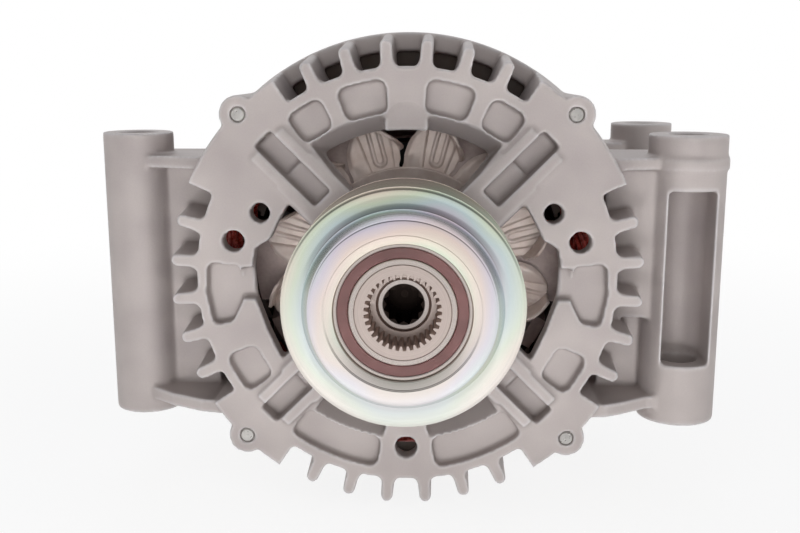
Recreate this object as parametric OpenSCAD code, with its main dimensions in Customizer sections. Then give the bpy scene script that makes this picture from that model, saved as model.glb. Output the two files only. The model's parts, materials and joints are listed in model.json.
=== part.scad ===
// Vehicle alternator with a six-groove overrunning pulley and two vertical
// mounting tubes. The shaft lies along Y and the pulley faces -Y. The origin is
// on the shaft axis at the front face of the drive end bracket. Sizes are in mm.

/* [Drive end bracket] */
// Radius of the front plate between the cooling fins
plate_r = 67.6; // [67:0.1:68.4]
// Radius of the fin tips at the front face
fin_tip_r = 75.9; // [75.4:0.1:76.4]
// Thickness of a cooling fin at its root
fin_root_w = 4.6; // [3.8:0.1:5]
// Thickness of a cooling fin at its tip
fin_tip_w = 4; // [3.4:0.1:4.4]
// Thickness of the front plate
plate_t = 7; // [6:0.5:8]
// Depth of the weight-saving pockets in the front plate
pocket_depth = 4; // [2:0.5:5]
// Depth of the channels in the spokes
channel_depth = 6.5; // [4:0.5:7]
// Width of the channels in the spokes
channel_w = 7.2; // [6:0.2:8]
// Outer radius of the bracket rings that hold the stator
ring_r = 79; // [78.4:0.1:79.6]
// Distance of the front ring behind the front face
ring_y = 32; // [30:0.5:33]
// Depth of the front ring along the shaft
ring_len = 18; // [14:0.5:20]
// Radius of the rounded ears round the through bolts
ear_r = 6; // [5.6:0.1:6.6]
// Radius of the air opening in the front plate
opening_r = 48; // [47:0.2:49]

/* [Mounting tubes] */
// Left tube centre, left of the shaft
left_tube_x = 92.7; // [91.5:0.1:94]
// Left tube centre, behind the front face
left_tube_y = 29.8; // [28:0.1:32]
// Outer radius of the left tube
left_tube_r = 11.75; // [11:0.05:12.4]
// Right tube centre, right of the shaft
right_tube_x = 93.2; // [92:0.1:94.5]
// Right tube centre, behind the front face
right_tube_y = 22.75; // [21.5:0.05:24]
// Outer radius of the right tube
right_tube_r = 12.9; // [12.3:0.1:13.5]
// Radius of the bores through the mounting tubes
tube_bore_r = 6.6; // [5.2:0.1:7]
// Height of the top ends of the tubes above the shaft
tube_top = 45.7; // [44:0.1:48]
// Height of the bottom ends of the tubes, below the shaft
tube_drop = 51.8; // [50:0.1:54]
// Height of the top of the upper arms above the shaft
arm_top = 38.4; // [37:0.1:40]
// Thickness of the arms
arm_t = 4; // [3:0.1:5]
// Depth of the top of the lower arms below the shaft
low_arm_drop = 42; // [41:0.1:43]
// Width of the window in the front of the right tube
window_w = 15.5; // [13:0.1:17]
// Height of the window's top edge above the shaft
window_top = 27.5; // [24:0.1:29]
// Depth of the window's bottom edge below the shaft
window_drop = 31; // [28:0.1:33]
// Rear boss centre, right of the shaft
boss_x = 92.3; // [91:0.1:93.5]
// Rear boss centre, behind the front face
boss_y = 94.3; // [93:0.1:96]
// Outer radius of the rear boss
boss_r = 11.9; // [11:0.1:12.5]
// Height of the rear boss
boss_len = 40; // [32:0.5:46]

/* [Stator] */
// Outer radius of the stator core
stator_r = 73.2; // [73:0.05:73.25]
// Length of the stator core
stator_len = 40; // [36:0.5:44]
// Distance of the stator core behind the front face
stator_y = 38; // [37:0.5:40]
// Radius of the circle through the through bolts
bolt_circle_r = 74.6; // [74.2:0.1:75]
// Radius of the through bolts
bolt_r = 2.4; // [2:0.1:2.5]
// How far the winding stands out of the core at each end
winding_overhang = 20; // [16:0.5:21]
// Number of stator slots
slot_count = 36; // [36:12:48]

/* [Rotor] */
// Radius of the claw poles
rotor_r = 53.5; // [52:0.1:54]
// Air gap between the rotor and the stator
air_gap = 0.35; // [0.25:0.05:0.6]
// Number of claws on each pole
claw_count = 6; // [6:1:7]
// Length of the rotor over both claw poles
rotor_len = 54; // [50:0.5:56]
// Radius of the shaft in the claw poles
shaft_r = 10.5; // [9.5:0.1:11]
// Radius of the front fan
fan_r = 50; // [48:0.2:50.5]
// Number of blades on the front fan
fan_blades = 12; // [9:1:13]
// Height of the fan blades along the shaft
blade_h = 13; // [9:0.5:13]
// Thickness of the fan sheet
fan_t = 1.4; // [1:0.1:1.6]
// Radius of the slip rings
slip_r = 8; // [7.6:0.1:8.4]

/* [Bearings] */
// Bore radius of the front bearing
front_bore_r = 8.5; // [8.3:0.05:8.6]
// Outer radius of the front bearing
front_bearing_r = 23.5; // [22.5:0.1:24]
// Width of the front bearing
front_bearing_w = 14; // [13:0.5:14]
// Bore radius of the rear bearing
rear_bore_r = 7.5; // [7.3:0.05:7.7]
// Outer radius of the rear bearing
rear_bearing_r = 17.5; // [17:0.1:18]
// Width of the rear bearing
rear_bearing_w = 11; // [10:0.5:11.5]
// Radial clearance between each ball and its raceways
ball_gap = 0.03; // [0.02:0.01:0.06]

/* [Pulley] */
// Radius of the two pulley flanges
flange_r = 34.9; // [34:0.1:35.5]
// Radius over the belt ribs
rib_r = 31; // [30:0.1:32]
// Number of belt grooves
groove_count = 6; // [5:1:6]
// Distance from groove to groove
groove_pitch = 3.56; // [3.4:0.02:3.6]
// Depth of the belt grooves
groove_depth = 3; // [2.4:0.1:3.2]
// Thickness of the flanges at the rim
flange_t = 1.66; // [1.4:0.02:1.8]
// Distance of the rear flange in front of the bracket face
pulley_gap = 14.9; // [14.4:0.1:16]
// Radius of the nose of the pulley
nose_r = 26.55; // [26:0.05:27.2]
// Length of the nose in front of the front flange
nose_len = 5.4; // [4:0.1:6]
// Radius of the bore in the pulley ring
pulley_bore_r = 19.6; // [19.4:0.05:19.9]
// Outer radius of the splined hub
hub_r = 13.6; // [13.4:0.05:13.8]
// Root radius of the spline in the hub
spline_r = 10.9; // [10.6:0.05:11.1]
// Height of the spline teeth
spline_h = 1.3; // [1:0.05:1.4]
// Number of spline teeth
spline_teeth = 33; // [30:1:33]

/* [Rear end] */
// Length of the rear bracket along the shaft, from its ring to its rear face
rear_bracket_len = 47; // [46:0.5:48]
// Length of the rear cover behind the rear bracket
cover_len = 38; // [37:0.5:42]
// Wall thickness of the rear cover
cover_wall = 2.2; // [1.8:0.1:2.6]
// Radius of the output stud
stud_r = 4; // [3:0.1:4.4]
// Width of a brush along the shaft
brush_w = 4.6; // [4:0.1:5]
// Depth of a brush across the shaft
brush_d = 6.4; // [5:0.1:7]
// Length of a brush
brush_len = 18; // [16:0.5:20]

/* [Hidden] */
$fn = 96;

// Lengths along the shaft, counted back from the front face of the bracket
hub_front_y = -8;
front_bearing_y = -4;
ring_back_y = ring_y + ring_len;
stator_back_y = stator_y + stator_len;
stator_mid_y = stator_y + stator_len / 2;
rotor_front_y = stator_mid_y - rotor_len / 2;
rotor_back_y = stator_mid_y + rotor_len / 2;
pole_t = 13;
rear_ring_y = stator_back_y - 12;
rear_ring_len = 18;
rear_face_y = rear_ring_y + rear_bracket_len;
rear_plate_t = 7;
rear_hub_y = rear_face_y - 10;
rear_hub_back_y = rear_face_y + 4;
rear_bearing_y = rear_hub_y + 1.5;
slip_y = [rear_hub_back_y + 5, rear_hub_back_y + 14];
slip_w = 6;
shaft_back_y = slip_y[1] + slip_w + 2;
cover_back_y = rear_face_y + cover_len;

// Radii
stator_bore_r = rotor_r + air_gap;
slot_depth_r = stator_r - 6.7;
pilot_r = stator_r + 0.1;
hollow_r = slot_depth_r + 0.5;
cover_r = 66;
bolt_clear = 0.2;
hub_outer_r = front_bearing_r + 8.5;
lip_r = opening_r + 5.3;
lip_depth = 8;
pad_depth = 0.4;
bolt_angles = [45, 135, 225, 315];
fin_lean = atan((ring_r - 0.3 - fin_tip_r) / ring_y);
fin_fillet = 1.5;
seat_step = 0.6;
front_pitch_r = (front_bore_r + front_bearing_r) / 2;
front_ball_r = 4.36;
rear_pitch_r = (rear_bore_r + rear_bearing_r) / 2;
rear_ball_r = 3;
race_gap = 3.3;
sleeve_t = 1.2;
rear_hub_r = rear_bearing_r + 7;

// Pulley lengths
pulley_back_y = -pulley_gap;
belt_w = groove_count * groove_pitch;
flange_front_y = pulley_back_y - belt_w - 2 * flange_t;
nose_y = flange_front_y - nose_len;
hub_face_y = nose_y + 1.8;
hub_back_y = -10;
pulley_race_w = 8;
pulley_pitch_r = (pulley_bore_r + hub_r) / 2;
pulley_ball_r = 1.75;
race_t = 1.75;
shaft_end_y = hub_face_y + 10.6;
thread_r = 8;

// Angles of the cooling fins, seen from the front, counterclockwise from +X
side_fins = [-25, -15, -5, 5, 15];
top_fins = [65, 75, 85];
low_fins = [-65, -75, -85];

// Helpers

function polar(r, a) = [r * cos(a), r * sin(a)];

function corner(rc, ac, c, t0) = [
    for (t = [t0 : 22.5 : t0 + 90])
        polar(rc + c * cos(t), ac + c * sin(t) / rc * 180 / PI)
];

function arc_points(r, a0, a1) = [for (i = [1 : 5]) polar(r, a0 + (a1 - a0) * i / 6)];

// A part of a ring with rounded corners
function rounded_polar(r0, r1, a0, a1, c) =
    let (ro = r1 - c, ri = r0 + c, so = c / ro * 180 / PI, si = c / ri * 180 / PI)
    concat(
        corner(ro, a1 - so, c, 0),
        corner(ri, a1 - si, c, 90),
        arc_points(r0, a1 - si, a0 + si),
        corner(ri, a0 + si, c, 180),
        corner(ro, a0 + so, c, 270),
        arc_points(r1, a0 + so, a1 - so)
    );

function unit(v) = v / norm(v);

function round_one(p, a, b, r) =
    let (
        u = unit(a - p),
        v = unit(b - p),
        half = acos(u * v) / 2,
        c = p + unit(u + v) * r / sin(half),
        s = p + u * r / tan(half),
        e = p + v * r / tan(half),
        a0 = atan2(s[1] - c[1], s[0] - c[0]),
        a1 = atan2(e[1] - c[1], e[0] - c[0]),
        turn = (a1 - a0 + 540) % 360 - 180
    )
    [for (i = [0 : 4]) c + polar(r, a0 + turn * i / 4)];

// A polygon's points with every corner rounded to radius r
function rounded(pts, r) = [
    for (i = [0 : len(pts) - 1])
        each round_one(pts[i], pts[(i + len(pts) - 1) % len(pts)], pts[(i + 1) % len(pts)], r)
];

// A sketch seen from the front, pushed from y0 back to y1
module slab(y0, y1) {
    translate([0, y1, 0]) rotate([90, 0, 0]) linear_extrude(y1 - y0) children();
}

// A sketch seen from above, pushed from z0 up to z1
module deck(z0, z1) {
    translate([0, 0, z0]) linear_extrude(z1 - z0) children();
}

// A profile of [radius, y] points turned about the shaft axis
module turned(profile) {
    rotate([-90, 0, 0]) rotate_extrude() polygon(profile);
}

module rod(r, y0, y1) {
    translate([0, y0, 0]) rotate([-90, 0, 0]) cylinder(r = r, h = y1 - y0);
}

module ring(r_out, r_in, y0, y1) {
    difference() {
        rod(r_out, y0, y1);
        rod(r_in, y0 - 1, y1 + 1);
    }
}

module both_sides() {
    children();
    mirror([1, 0, 0]) children();
}

module spin(a) {
    rotate([0, -a, 0]) children();
}

module wedge(a0, a1, r) {
    far = r / cos((a1 - a0) / 6);
    polygon(concat([[0, 0]], [for (i = [0 : 3]) polar(far, a0 + (a1 - a0) * i / 3)]));
}

module pie(r, a0, a1) {
    intersection() {
        circle(r);
        wedge(a0, a1, r * 1.01);
    }
}

// Drive end bracket

// One fin seen from the front, lying along +X
module fin_outline() {
    half = fin_tip_w / 2;
    tip_x = fin_tip_r - half;
    polygon(concat(
        [[plate_r - 4, fin_root_w / 2], [plate_r - 4, -fin_root_w / 2]],
        [for (t = [-75 : 30 : 75]) [tip_x, 0] + polar(half, t)]
    ));
}

// Fillets where a fin's root meets the rim of the plate
module fin_fillets() {
    f = fin_fillet;
    half = fin_root_w / 2;
    centre = [plate_r - 0.2 + f, half + f];
    side = [for (t = [270 : -22.5 : 180]) centre + polar(f, t)];
    polygon(concat(
        [[plate_r - 3, -half - f]],
        [for (i = [len(side) - 1 : -1 : 0]) [side[i][0], -side[i][1]]],
        side,
        [[plate_r - 3, half + f]]
    ));
}

module fin(a) {
    slab(0, plate_t) rotate(a) fin_fillets();
    spin(a) translate([plate_r, 0, 0]) rotate([0, 0, -fin_lean]) translate([-plate_r, 0, 0])
        slab(-2, ring_y + 4) fin_outline();
}

module all_fins() {
    intersection() {
        union() {
            for (a = side_fins) both_sides() fin(a);
            for (a = top_fins) both_sides() fin(a);
            for (a = low_fins) both_sides() fin(a);
        }
        translate([-100, 0, -100]) cube([200, ring_y + 0.7, 200]);
    }
}

// The solid stretches of wall beside the ears, widening towards the ring
module flank(a0, a1) {
    intersection() {
        turned([[plate_r - 1, 0], [fin_tip_r, 0], [ring_r, ring_y + 1], [plate_r - 1, ring_y + 1]]);
        slab(-1, ring_y + 2) wedge(a0, a1, ring_r + 5);
    }
}

// The cut in the plate between the upper spokes, and between the lower ones
module upper_opening() {
    intersection() {
        circle(opening_r);
        polygon([[-15, 25.3], [-34, 50.5], [34, 50.5], [15, 25.3]]);
    }
}

module lower_opening() {
    intersection() {
        circle(opening_r);
        polygon([[-17.5, -28.5], [-35, -48], [35, -48], [17.5, -28.5]]);
    }
}

side_edge = [
    [-27, 14.3], [-37.5, 24.7], [-41.1, 18.3], [-43.4, 13.4], [-48.3, 10.4], [-49.2, 4.4],
    [-48.7, -5.4], [-44.9, -16.5], [-40.5, -26.2], [-28.8, -14.8]
];

module side_opening() {
    polygon(side_edge);
}

module lip_wedge() {
    polygon([[0, 5], [-39, 55], [39, 55]]);
}

// Outline of the right side pocket, with its inner lower corner cut off
side_pocket = [
    polar(lip_r + 0.2, 5), polar(64.2, 5), polar(64.6, -4), polar(64.2, -13.5), [56.3, -13.7], [53, -7]
];

module spoke(a, r_end, proud) {
    half = channel_w / 2 + 4.4;
    slab(-proud, front_bearing_y + front_bearing_w) rotate(a) translate([hub_outer_r - 4, -half])
        square([22, 2 * half]);
    for (s = [-1, 1]) {
        slab(-proud, plate_t) rotate(a) translate([hub_outer_r - 4, s * (channel_w / 2 + 1.8) - 1.8])
            square([r_end - hub_outer_r + 4, 3.6]);
    }
}

module channel(a, r0, r1) {
    slab(-3, channel_depth - 1.5) rotate(a) translate([r0, -channel_w / 2]) square([r1 - r0, channel_w]);
    slab(-3, channel_depth) rotate(a) translate([(r0 + r1) / 2, -channel_w / 2])
        square([(r1 - r0) / 2, channel_w]);
}

// Arms seen from above. The left arms are drawn on the right and mirrored.
left_upper_plan = [
    [52, 8], [68, 13], [left_tube_x - 6.5, left_tube_y - 11.4], [left_tube_x, left_tube_y - 9],
    [left_tube_x, ring_back_y], [52, ring_back_y]
];
left_lower_plan = [
    [56, 2], [69, 5], [80, 11], [left_tube_x - 3.5, left_tube_y - 11.2], [left_tube_x + 2, left_tube_y],
    [left_tube_x, ring_back_y], [52, ring_back_y]
];
right_upper_plan = [
    [52, 7], [68, 10.2], [right_tube_x - 13, right_tube_y - 9], [right_tube_x, right_tube_y - 5],
    [right_tube_x, ring_back_y], [52, ring_back_y]
];
right_lower_plan = [
    [56, 2], [66, 3], [72, 6], [81, 12], [right_tube_x - 3, right_tube_y - 9],
    [right_tube_x + 3, right_tube_y], [right_tube_x, ring_back_y], [52, ring_back_y]
];

module upper_arm(plan) {
    deck(arm_top - arm_t, arm_top) polygon(plan);
}

module lower_arm(plan) {
    deck(-low_arm_drop - arm_t - 0.5, -low_arm_drop) polygon(plan);
}

web_t = 6;

module left_web() {
    x1 = left_tube_x - 6;
    deck(-low_arm_drop - 1, arm_top - 1) polygon([
        [-x1, left_tube_y - 5], [-x1, left_tube_y - 5 + web_t], [-66, ring_y + 8], [-66, ring_y - 7.5]
    ]);
}

module right_web() {
    x1 = right_tube_x - 6;
    step_z = -16;
    deck(step_z, arm_top - 1) polygon([
        [x1, 15], [x1, 24], [66, ring_y + 6], [66, 20]
    ]);
    deck(-low_arm_drop - 1, step_z + 1) polygon([
        [x1, right_tube_y + 1], [x1, right_tube_y + 8], [66, ring_y + 8], [66, ring_y - 7]
    ]);
}

module tube_solids() {
    translate([-left_tube_x, left_tube_y, -tube_drop]) cylinder(r = left_tube_r, h = tube_top + tube_drop);
    translate([right_tube_x, right_tube_y, -tube_drop]) cylinder(r = right_tube_r, h = tube_top + tube_drop);
    translate([right_tube_x, right_tube_y, arm_top - arm_t])
        cylinder(r = right_tube_r + 0.7, h = arm_t - 0.4);
}

module tube_cuts() {
    for (p = [[-left_tube_x, left_tube_y], [right_tube_x, right_tube_y]]) {
        translate([p[0], p[1], -tube_drop - 1]) cylinder(r = tube_bore_r, h = tube_top + tube_drop + 2);
    }
    deck(-window_drop, window_top) {
        translate([right_tube_x, right_tube_y]) circle(window_w / 2);
        translate([right_tube_x - window_w / 2, right_tube_y - right_tube_r - 2])
            square([window_w, right_tube_r + 2]);
    }
}

module drive_end_bracket() {
    color("#c3bab2") difference() {
        union() {
            slab(0, plate_t) circle(plate_r);
            slab(0, lip_depth + 1) pie(lip_r + 1, 40, 140);
            slab(0, lip_depth + 1) pie(lip_r + 1, 220, 320);
            all_fins();
            both_sides() flank(24.3, 56.8);
            both_sides() flank(-56.2, -33.2);
            ring(ring_r, pilot_r - seat_step, ring_y, ring_back_y);
            for (a = bolt_angles) spin(a) translate([bolt_circle_r, 0, 0])
                rod(ear_r, 0, ring_back_y - 0.3);
            rod(hub_outer_r, hub_front_y, front_bearing_y + front_bearing_w);
            both_sides() spoke(45, 62, 0.8);
            both_sides() spoke(-45, 62, 1.4);
            tube_solids();
            mirror([1, 0, 0]) upper_arm(left_upper_plan);
            mirror([1, 0, 0]) lower_arm(left_lower_plan);
            upper_arm(right_upper_plan);
            lower_arm(right_lower_plan);
            left_web();
            right_web();
        }
        // hollow behind the front plate, and the seat of the stator core
        difference() {
            rod(hollow_r, plate_t, ring_y + 4);
            rod(lip_r + 1, 0, lip_depth + 1);
            rod(hub_outer_r + 0.1, 0, front_bearing_y + front_bearing_w);
            both_sides() spoke(45, 62, 0);
            both_sides() spoke(-45, 62, 0);
        }
        rod(pilot_r - seat_step, ring_y + 1.2, stator_y + 1);
        rod(pilot_r, stator_y, ring_back_y + 60);
        // air openings
        difference() {
            union() {
                slab(-20, 30) upper_opening();
                slab(-20, 30) lower_opening();
                both_sides() slab(-20, 30) side_opening();
            }
            rod(hub_outer_r, -30, 40);
            both_sides() slab(plate_t, plate_t + 4)
                polygon([[-26, 14], [-30, 28], [-37.5, 24.7], [-42, 19.3], [-33.9, 13.6]]);
        }
        difference() {
            turned([[0, -1], [lip_r + 0.7, -1], [lip_r, 0], [opening_r, lip_depth], [0, lip_depth]]);
            rod(hub_outer_r, -30, 40);
            slab(-2, 40) difference() {
                circle(100);
                lip_wedge();
                mirror([0, 1, 0]) lip_wedge();
            }
            both_sides() spoke(45, 62, 0.8);
            both_sides() spoke(-45, 62, 1.4);
            slab(-2, 20) {
                translate([0, 49.6]) circle(6.7);
                translate([-6.7, 47]) square([13.4, 2.6]);
                translate([0, -52.5]) circle(7.4);
                translate([-6.9, -56]) square([13.8, 9.2]);
            }
        }
        // pockets
        both_sides() slab(-1, pocket_depth) {
            polygon(rounded_polar(lip_r + 0.3, 64, 70, 84, 2.6));
            polygon(rounded_polar(lip_r + 0.3, 64, 54, 65, 2.6));
            polygon(rounded_polar(lip_r + 0.3, 64, -36, -23.5, 2.6));
            polygon(rounded_polar(lip_r + 0.3, 64, -81.2, -53.3, 2.6));
            polygon(rounded(side_pocket, 2));
        }
        both_sides() slab(-1, pocket_depth) translate([44, -6]) square([9.2, 10]);
        for (s = [0, 1]) mirror([s, 0, 0]) {
            channel(45, hub_outer_r + 5.5, 64);
            channel(-45, hub_outer_r + 3, 64);
        }
        // face of the pad over the top opening
        slab(-1, pad_depth) {
            translate([0, 49.6]) circle(6.9);
            translate([-6.9, 40]) square([13.8, 9.6]);
        }
        // holes in the front plate
        both_sides() slab(-1, plate_t + 1) {
            translate([46.5, 21.8]) circle(3.1);
            translate([55.3, 12.7]) circle(3.45);
        }
        slab(-1, lip_depth + 2) translate([0, -56.3]) circle(3.6);
        // bearing seat and bolt holes
        rod(front_bearing_r, front_bearing_y, 30);
        rod(front_bearing_r - 4, hub_front_y - 1, front_bearing_y + 1);
        for (a = bolt_angles) spin(a) translate([bolt_circle_r, 0, 0])
            rod(bolt_r + 0.02, -1, ring_back_y + 1);
        for (a = [0 : 90 : 270]) spin(a) translate([front_bearing_r + 4.2, 0, 0]) rod(1.8, 1, 11);
        tube_cuts();
    }
}

// Slip ring end bracket

post_angles = [30, 150, 270];
post_r = 3.8;
post_circle_r = cover_r - 10.5;
ear_back_y = rear_face_y - 9;
boss_low = tube_top - boss_len;

module rear_boss_arm(z0, z1) {
    deck(z0, z1) polygon([
        [50, rear_ring_y + 12], [boss_x, boss_y - 8], [boss_x, boss_y + 8], [50, rear_face_y - 8]
    ]);
}

module slip_ring_end_bracket() {
    wall_r = pilot_r - 4;
    window_y = rear_ring_y + rear_ring_len;
    inner_y = rear_face_y - rear_plate_t;
    color("#bdb5ae") difference() {
        union() {
            turned([
                [0, rear_ring_y], [ring_r, rear_ring_y], [ring_r, ear_back_y + 1], [ring_r - 7, rear_face_y],
                [0, rear_face_y]
            ]);
            for (a = bolt_angles) spin(a) translate([bolt_circle_r, 0, 0])
                rod(ear_r, rear_ring_y, ear_back_y);
            rod(rear_hub_r, rear_face_y - 1, rear_hub_back_y);
            for (a = post_angles) spin(a) translate([post_circle_r, 0, 0])
                rod(post_r, rear_face_y - 1, cover_back_y - cover_wall);
            translate([boss_x, boss_y, boss_low]) cylinder(r = boss_r, h = boss_len);
            rear_boss_arm(arm_top - arm_t, arm_top);
            rear_boss_arm(boss_low + 3, boss_low + 3 + arm_t);
            deck(boss_low + 4, arm_top - 1) polygon([
                [60, boss_y - 4], [boss_x, boss_y - 3], [boss_x, boss_y + 3], [60, boss_y + 4]
            ]);
        }
        // seat of the stator core, and the hollow round the winding and the rear fan
        turned([
            [0, rear_ring_y - 5], [pilot_r, rear_ring_y - 5], [pilot_r, stator_back_y],
            [wall_r, stator_back_y],
            [wall_r, inner_y - 6], [wall_r - 4, inner_y], [rear_hub_r, inner_y], [rear_hub_r, rear_hub_y],
            [0, rear_hub_y]
        ]);
        // windows between the fins
        for (a = [-30 : 10 : 20]) both_sides() rear_window(a, window_y);
        for (a = [60 : 10 : 80]) both_sides() rear_window(a, window_y);
        rear_window(90, window_y);
        for (a = [-60 : -10 : -80]) both_sides() rear_window(a, window_y);
        rear_window(-90, window_y);
        // air openings in the rear plate
        slab(rear_face_y - 20, rear_face_y + 3) {
            for (a = [0 : 45 : 315]) polygon(rounded_polar(28, 38, a - 15, a + 15, 2.5));
            for (a = [135 : 30 : 405]) polygon(rounded_polar(43, 52, a - 10, a + 10, 2.5));
        }
        // bearing seat and bolt holes
        rod(rear_bearing_r + sleeve_t, rear_hub_y - 1, rear_bearing_y + rear_bearing_w);
        rod(rear_bearing_r - 3.5, rear_bearing_y, rear_hub_back_y + 1);
        for (a = bolt_angles) spin(a) translate([bolt_circle_r, 0, 0]) {
            rod(bolt_r + bolt_clear, rear_ring_y - 1, ear_back_y + 1);
            rod(ear_r - 0.4, ear_back_y, rear_face_y + 1);
        }
        for (a = post_angles) spin(a) translate([post_circle_r, 0, 0])
            rod(2.12, cover_back_y - cover_wall - 16, cover_back_y);
        for (x = [-20, 20]) translate([x, 0, holder_screw_z]) rod(1.9, rear_face_y - 6, rear_face_y + 1);
        translate([boss_x, boss_y, boss_low - 1]) cylinder(r = tube_bore_r, h = boss_len + 2);
    }
}

module rear_window(a, y0) {
    spin(a) translate([pilot_r - 12, y0 + 1, -3.8]) cube([30, ear_back_y - y0 - 6, 7.6]);
}

// Stator

module stator_core() {
    color("#6d6a68") slab(stator_y, stator_back_y) difference() {
        circle(stator_r);
        circle(stator_bore_r);
        for (i = [0 : slot_count - 1]) rotate((i + 0.5) * 360 / slot_count) {
            translate([stator_bore_r - 1, -1.3]) square([3, 2.6]);
            translate([stator_bore_r + 1.2, -2.7]) square([slot_depth_r - stator_bore_r - 1.2, 5.4]);
        }
        for (a = bolt_angles) rotate(a) translate([bolt_circle_r, 0]) circle(bolt_r + 1);
    }
}

module coil_end(y0, y1) {
    r0 = stator_bore_r + 1.4;
    r1 = slot_depth_r - 0.3;
    c = 3;
    turned([
        [r0, y0], [r0 + c, y0 - 1], [r1 - c, y0 - 1], [r1, y0], [r1, y1], [r1 - c, y1 + 1],
        [r0 + c, y1 + 1], [r0, y1]
    ]);
}

module stator_winding() {
    r0 = stator_bore_r + 1.5;
    color("#7a2f22") {
        coil_end(stator_y - winding_overhang, stator_y - 1.6);
        coil_end(stator_back_y + 1.6, stator_back_y + winding_overhang);
        for (i = [0 : slot_count - 1]) spin((i + 0.5) * 360 / slot_count)
            translate([r0, stator_y - 1.5, -2.4]) cube([slot_depth_r - 0.4 - r0, stator_len + 3, 4.8]);
    }
}

module through_bolts() {
    color("#c9c9c4") for (a = bolt_angles) spin(a) translate([bolt_circle_r, 0, 0]) {
        turned([
            [0, 0.2], [bolt_r - 0.5, 0.2], [bolt_r, 0.7], [bolt_r, ear_back_y], [4.8, ear_back_y],
            [4.8, ear_back_y + 0.8], [0, ear_back_y + 0.8]
        ]);
        translate([0, ear_back_y + 0.8, 0]) rotate([-90, 0, 0]) cylinder(r = 4.4, h = 3.8, $fn = 6);
    }
}

// Bearings

module raceway(pitch_r, ball_r, y) {
    translate([0, y, 0]) rotate([-90, 0, 0]) rotate_extrude() translate([pitch_r, 0])
        circle(ball_r + ball_gap);
}

module balls(pitch_r, ball_r, count, y) {
    for (i = [0 : count - 1]) spin(i * 360 / count) translate([pitch_r, y, 0]) sphere(ball_r);
}

module ball_cage(pitch_r, ball_r, count, y) {
    half = ball_r + 0.9;
    difference() {
        ring(pitch_r + ball_r * 0.32, pitch_r - ball_r * 0.32, y - half, y + half);
        for (i = [0 : count - 1]) spin(i * 360 / count) translate([pitch_r - ball_r, y, 0])
            rotate([0, 90, 0]) cylinder(r = ball_r + 0.1, h = 2 * ball_r);
    }
}

front_ball_y = front_bearing_y + front_bearing_w / 2;
rear_ball_y = rear_bearing_y + rear_bearing_w / 2;
front_balls = 7;
rear_balls = 8;

module front_bearing_outer_ring() {
    color("#b4b8bb") difference() {
        ring(front_bearing_r, front_pitch_r + race_gap, front_bearing_y, front_bearing_y + front_bearing_w);
        raceway(front_pitch_r, front_ball_r, front_ball_y);
    }
}

module front_bearing_inner_ring() {
    color("#b4b8bb") difference() {
        ring(front_pitch_r - race_gap, front_bore_r, front_bearing_y, front_bearing_y + front_bearing_w);
        raceway(front_pitch_r, front_ball_r, front_ball_y);
    }
}

module front_bearing_shields() {
    for (y = [front_bearing_y + 0.2, front_bearing_y + front_bearing_w - 1.2])
        color("#2a2624") ring(front_pitch_r + race_gap, front_pitch_r - race_gap + 0.3, y, y + 1);
}

module front_bearing_balls() {
    color("#d5d8da") balls(front_pitch_r, front_ball_r, front_balls, front_ball_y);
}

module front_bearing_cage() {
    color("#b08d57") ball_cage(front_pitch_r, front_ball_r, front_balls, front_ball_y);
}

module bearing_retainer_plate() {
    y0 = front_bearing_y + front_bearing_w;
    color("#9a9a98") difference() {
        ring(hub_outer_r - 0.8, front_bearing_r - 3, y0, y0 + 2);
        for (a = [0 : 90 : 270]) spin(a) translate([front_bearing_r + 4.2, 0, 0]) turned([
            [0, y0 - 1], [2.1, y0 - 1], [2.1, y0 + 0.3], [3.7, y0 + 1.9], [3.7, y0 + 3], [0, y0 + 3]
        ]);
    }
}

module retainer_screws() {
    y0 = front_bearing_y + front_bearing_w;
    color("#b9b9b2") for (a = [0 : 90 : 270]) spin(a) translate([front_bearing_r + 4.2, 0, 0])
        turned([[0, y0 - 8], [1.78, y0 - 8], [1.78, y0 + 0.3], [3.35, y0 + 1.87], [0, y0 + 1.87]]);
}

module rear_bearing_sleeve() {
    color("#d8d2c0")
        ring(rear_bearing_r + sleeve_t, rear_bearing_r, rear_bearing_y, rear_bearing_y + rear_bearing_w);
}

rear_gap = race_gap * rear_ball_r / front_ball_r;

module rear_bearing_outer_ring() {
    color("#b4b8bb") difference() {
        ring(rear_bearing_r, rear_pitch_r + rear_gap, rear_bearing_y, rear_bearing_y + rear_bearing_w);
        raceway(rear_pitch_r, rear_ball_r, rear_ball_y);
    }
}

module rear_bearing_inner_ring() {
    color("#b4b8bb") difference() {
        ring(rear_pitch_r - rear_gap, rear_bore_r, rear_bearing_y, rear_bearing_y + rear_bearing_w);
        raceway(rear_pitch_r, rear_ball_r, rear_ball_y);
    }
}

module rear_bearing_balls() {
    color("#d5d8da") balls(rear_pitch_r, rear_ball_r, rear_balls, rear_ball_y);
}

module rear_bearing_cage() {
    color("#b08d57") ball_cage(rear_pitch_r, rear_ball_r, rear_balls, rear_ball_y);
}

// Rotor

module rotor_shaft() {
    color("#a8abad") difference() {
        turned([
            [0, shaft_end_y], [thread_r - 0.7, shaft_end_y], [thread_r - 0.02, shaft_end_y + 0.7],
            [thread_r - 0.02, hub_back_y], [front_bore_r, hub_back_y],
            [front_bore_r, front_bearing_y + front_bearing_w], [shaft_r, front_bearing_y + front_bearing_w],
            [shaft_r, rotor_back_y + 2], [rear_bore_r + 1.6, rotor_back_y + 3.5],
            [rear_bore_r + 1.6, rear_bearing_y], [rear_bore_r, rear_bearing_y],
            [rear_bore_r, rear_bearing_y + rear_bearing_w], [6, rear_bearing_y + rear_bearing_w],
            [6, shaft_back_y - 0.6], [5.4, shaft_back_y], [0, shaft_back_y]
        ]);
        slab(shaft_end_y - 1, shaft_end_y + 14) for (a = [0, 30, 60]) rotate(a) square(8.6, center = true);
    }
}

claw_reach = rotor_len - 3;
claw_base_w = 27;
claw_tip_w = 11;
coil_r = 41;

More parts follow.
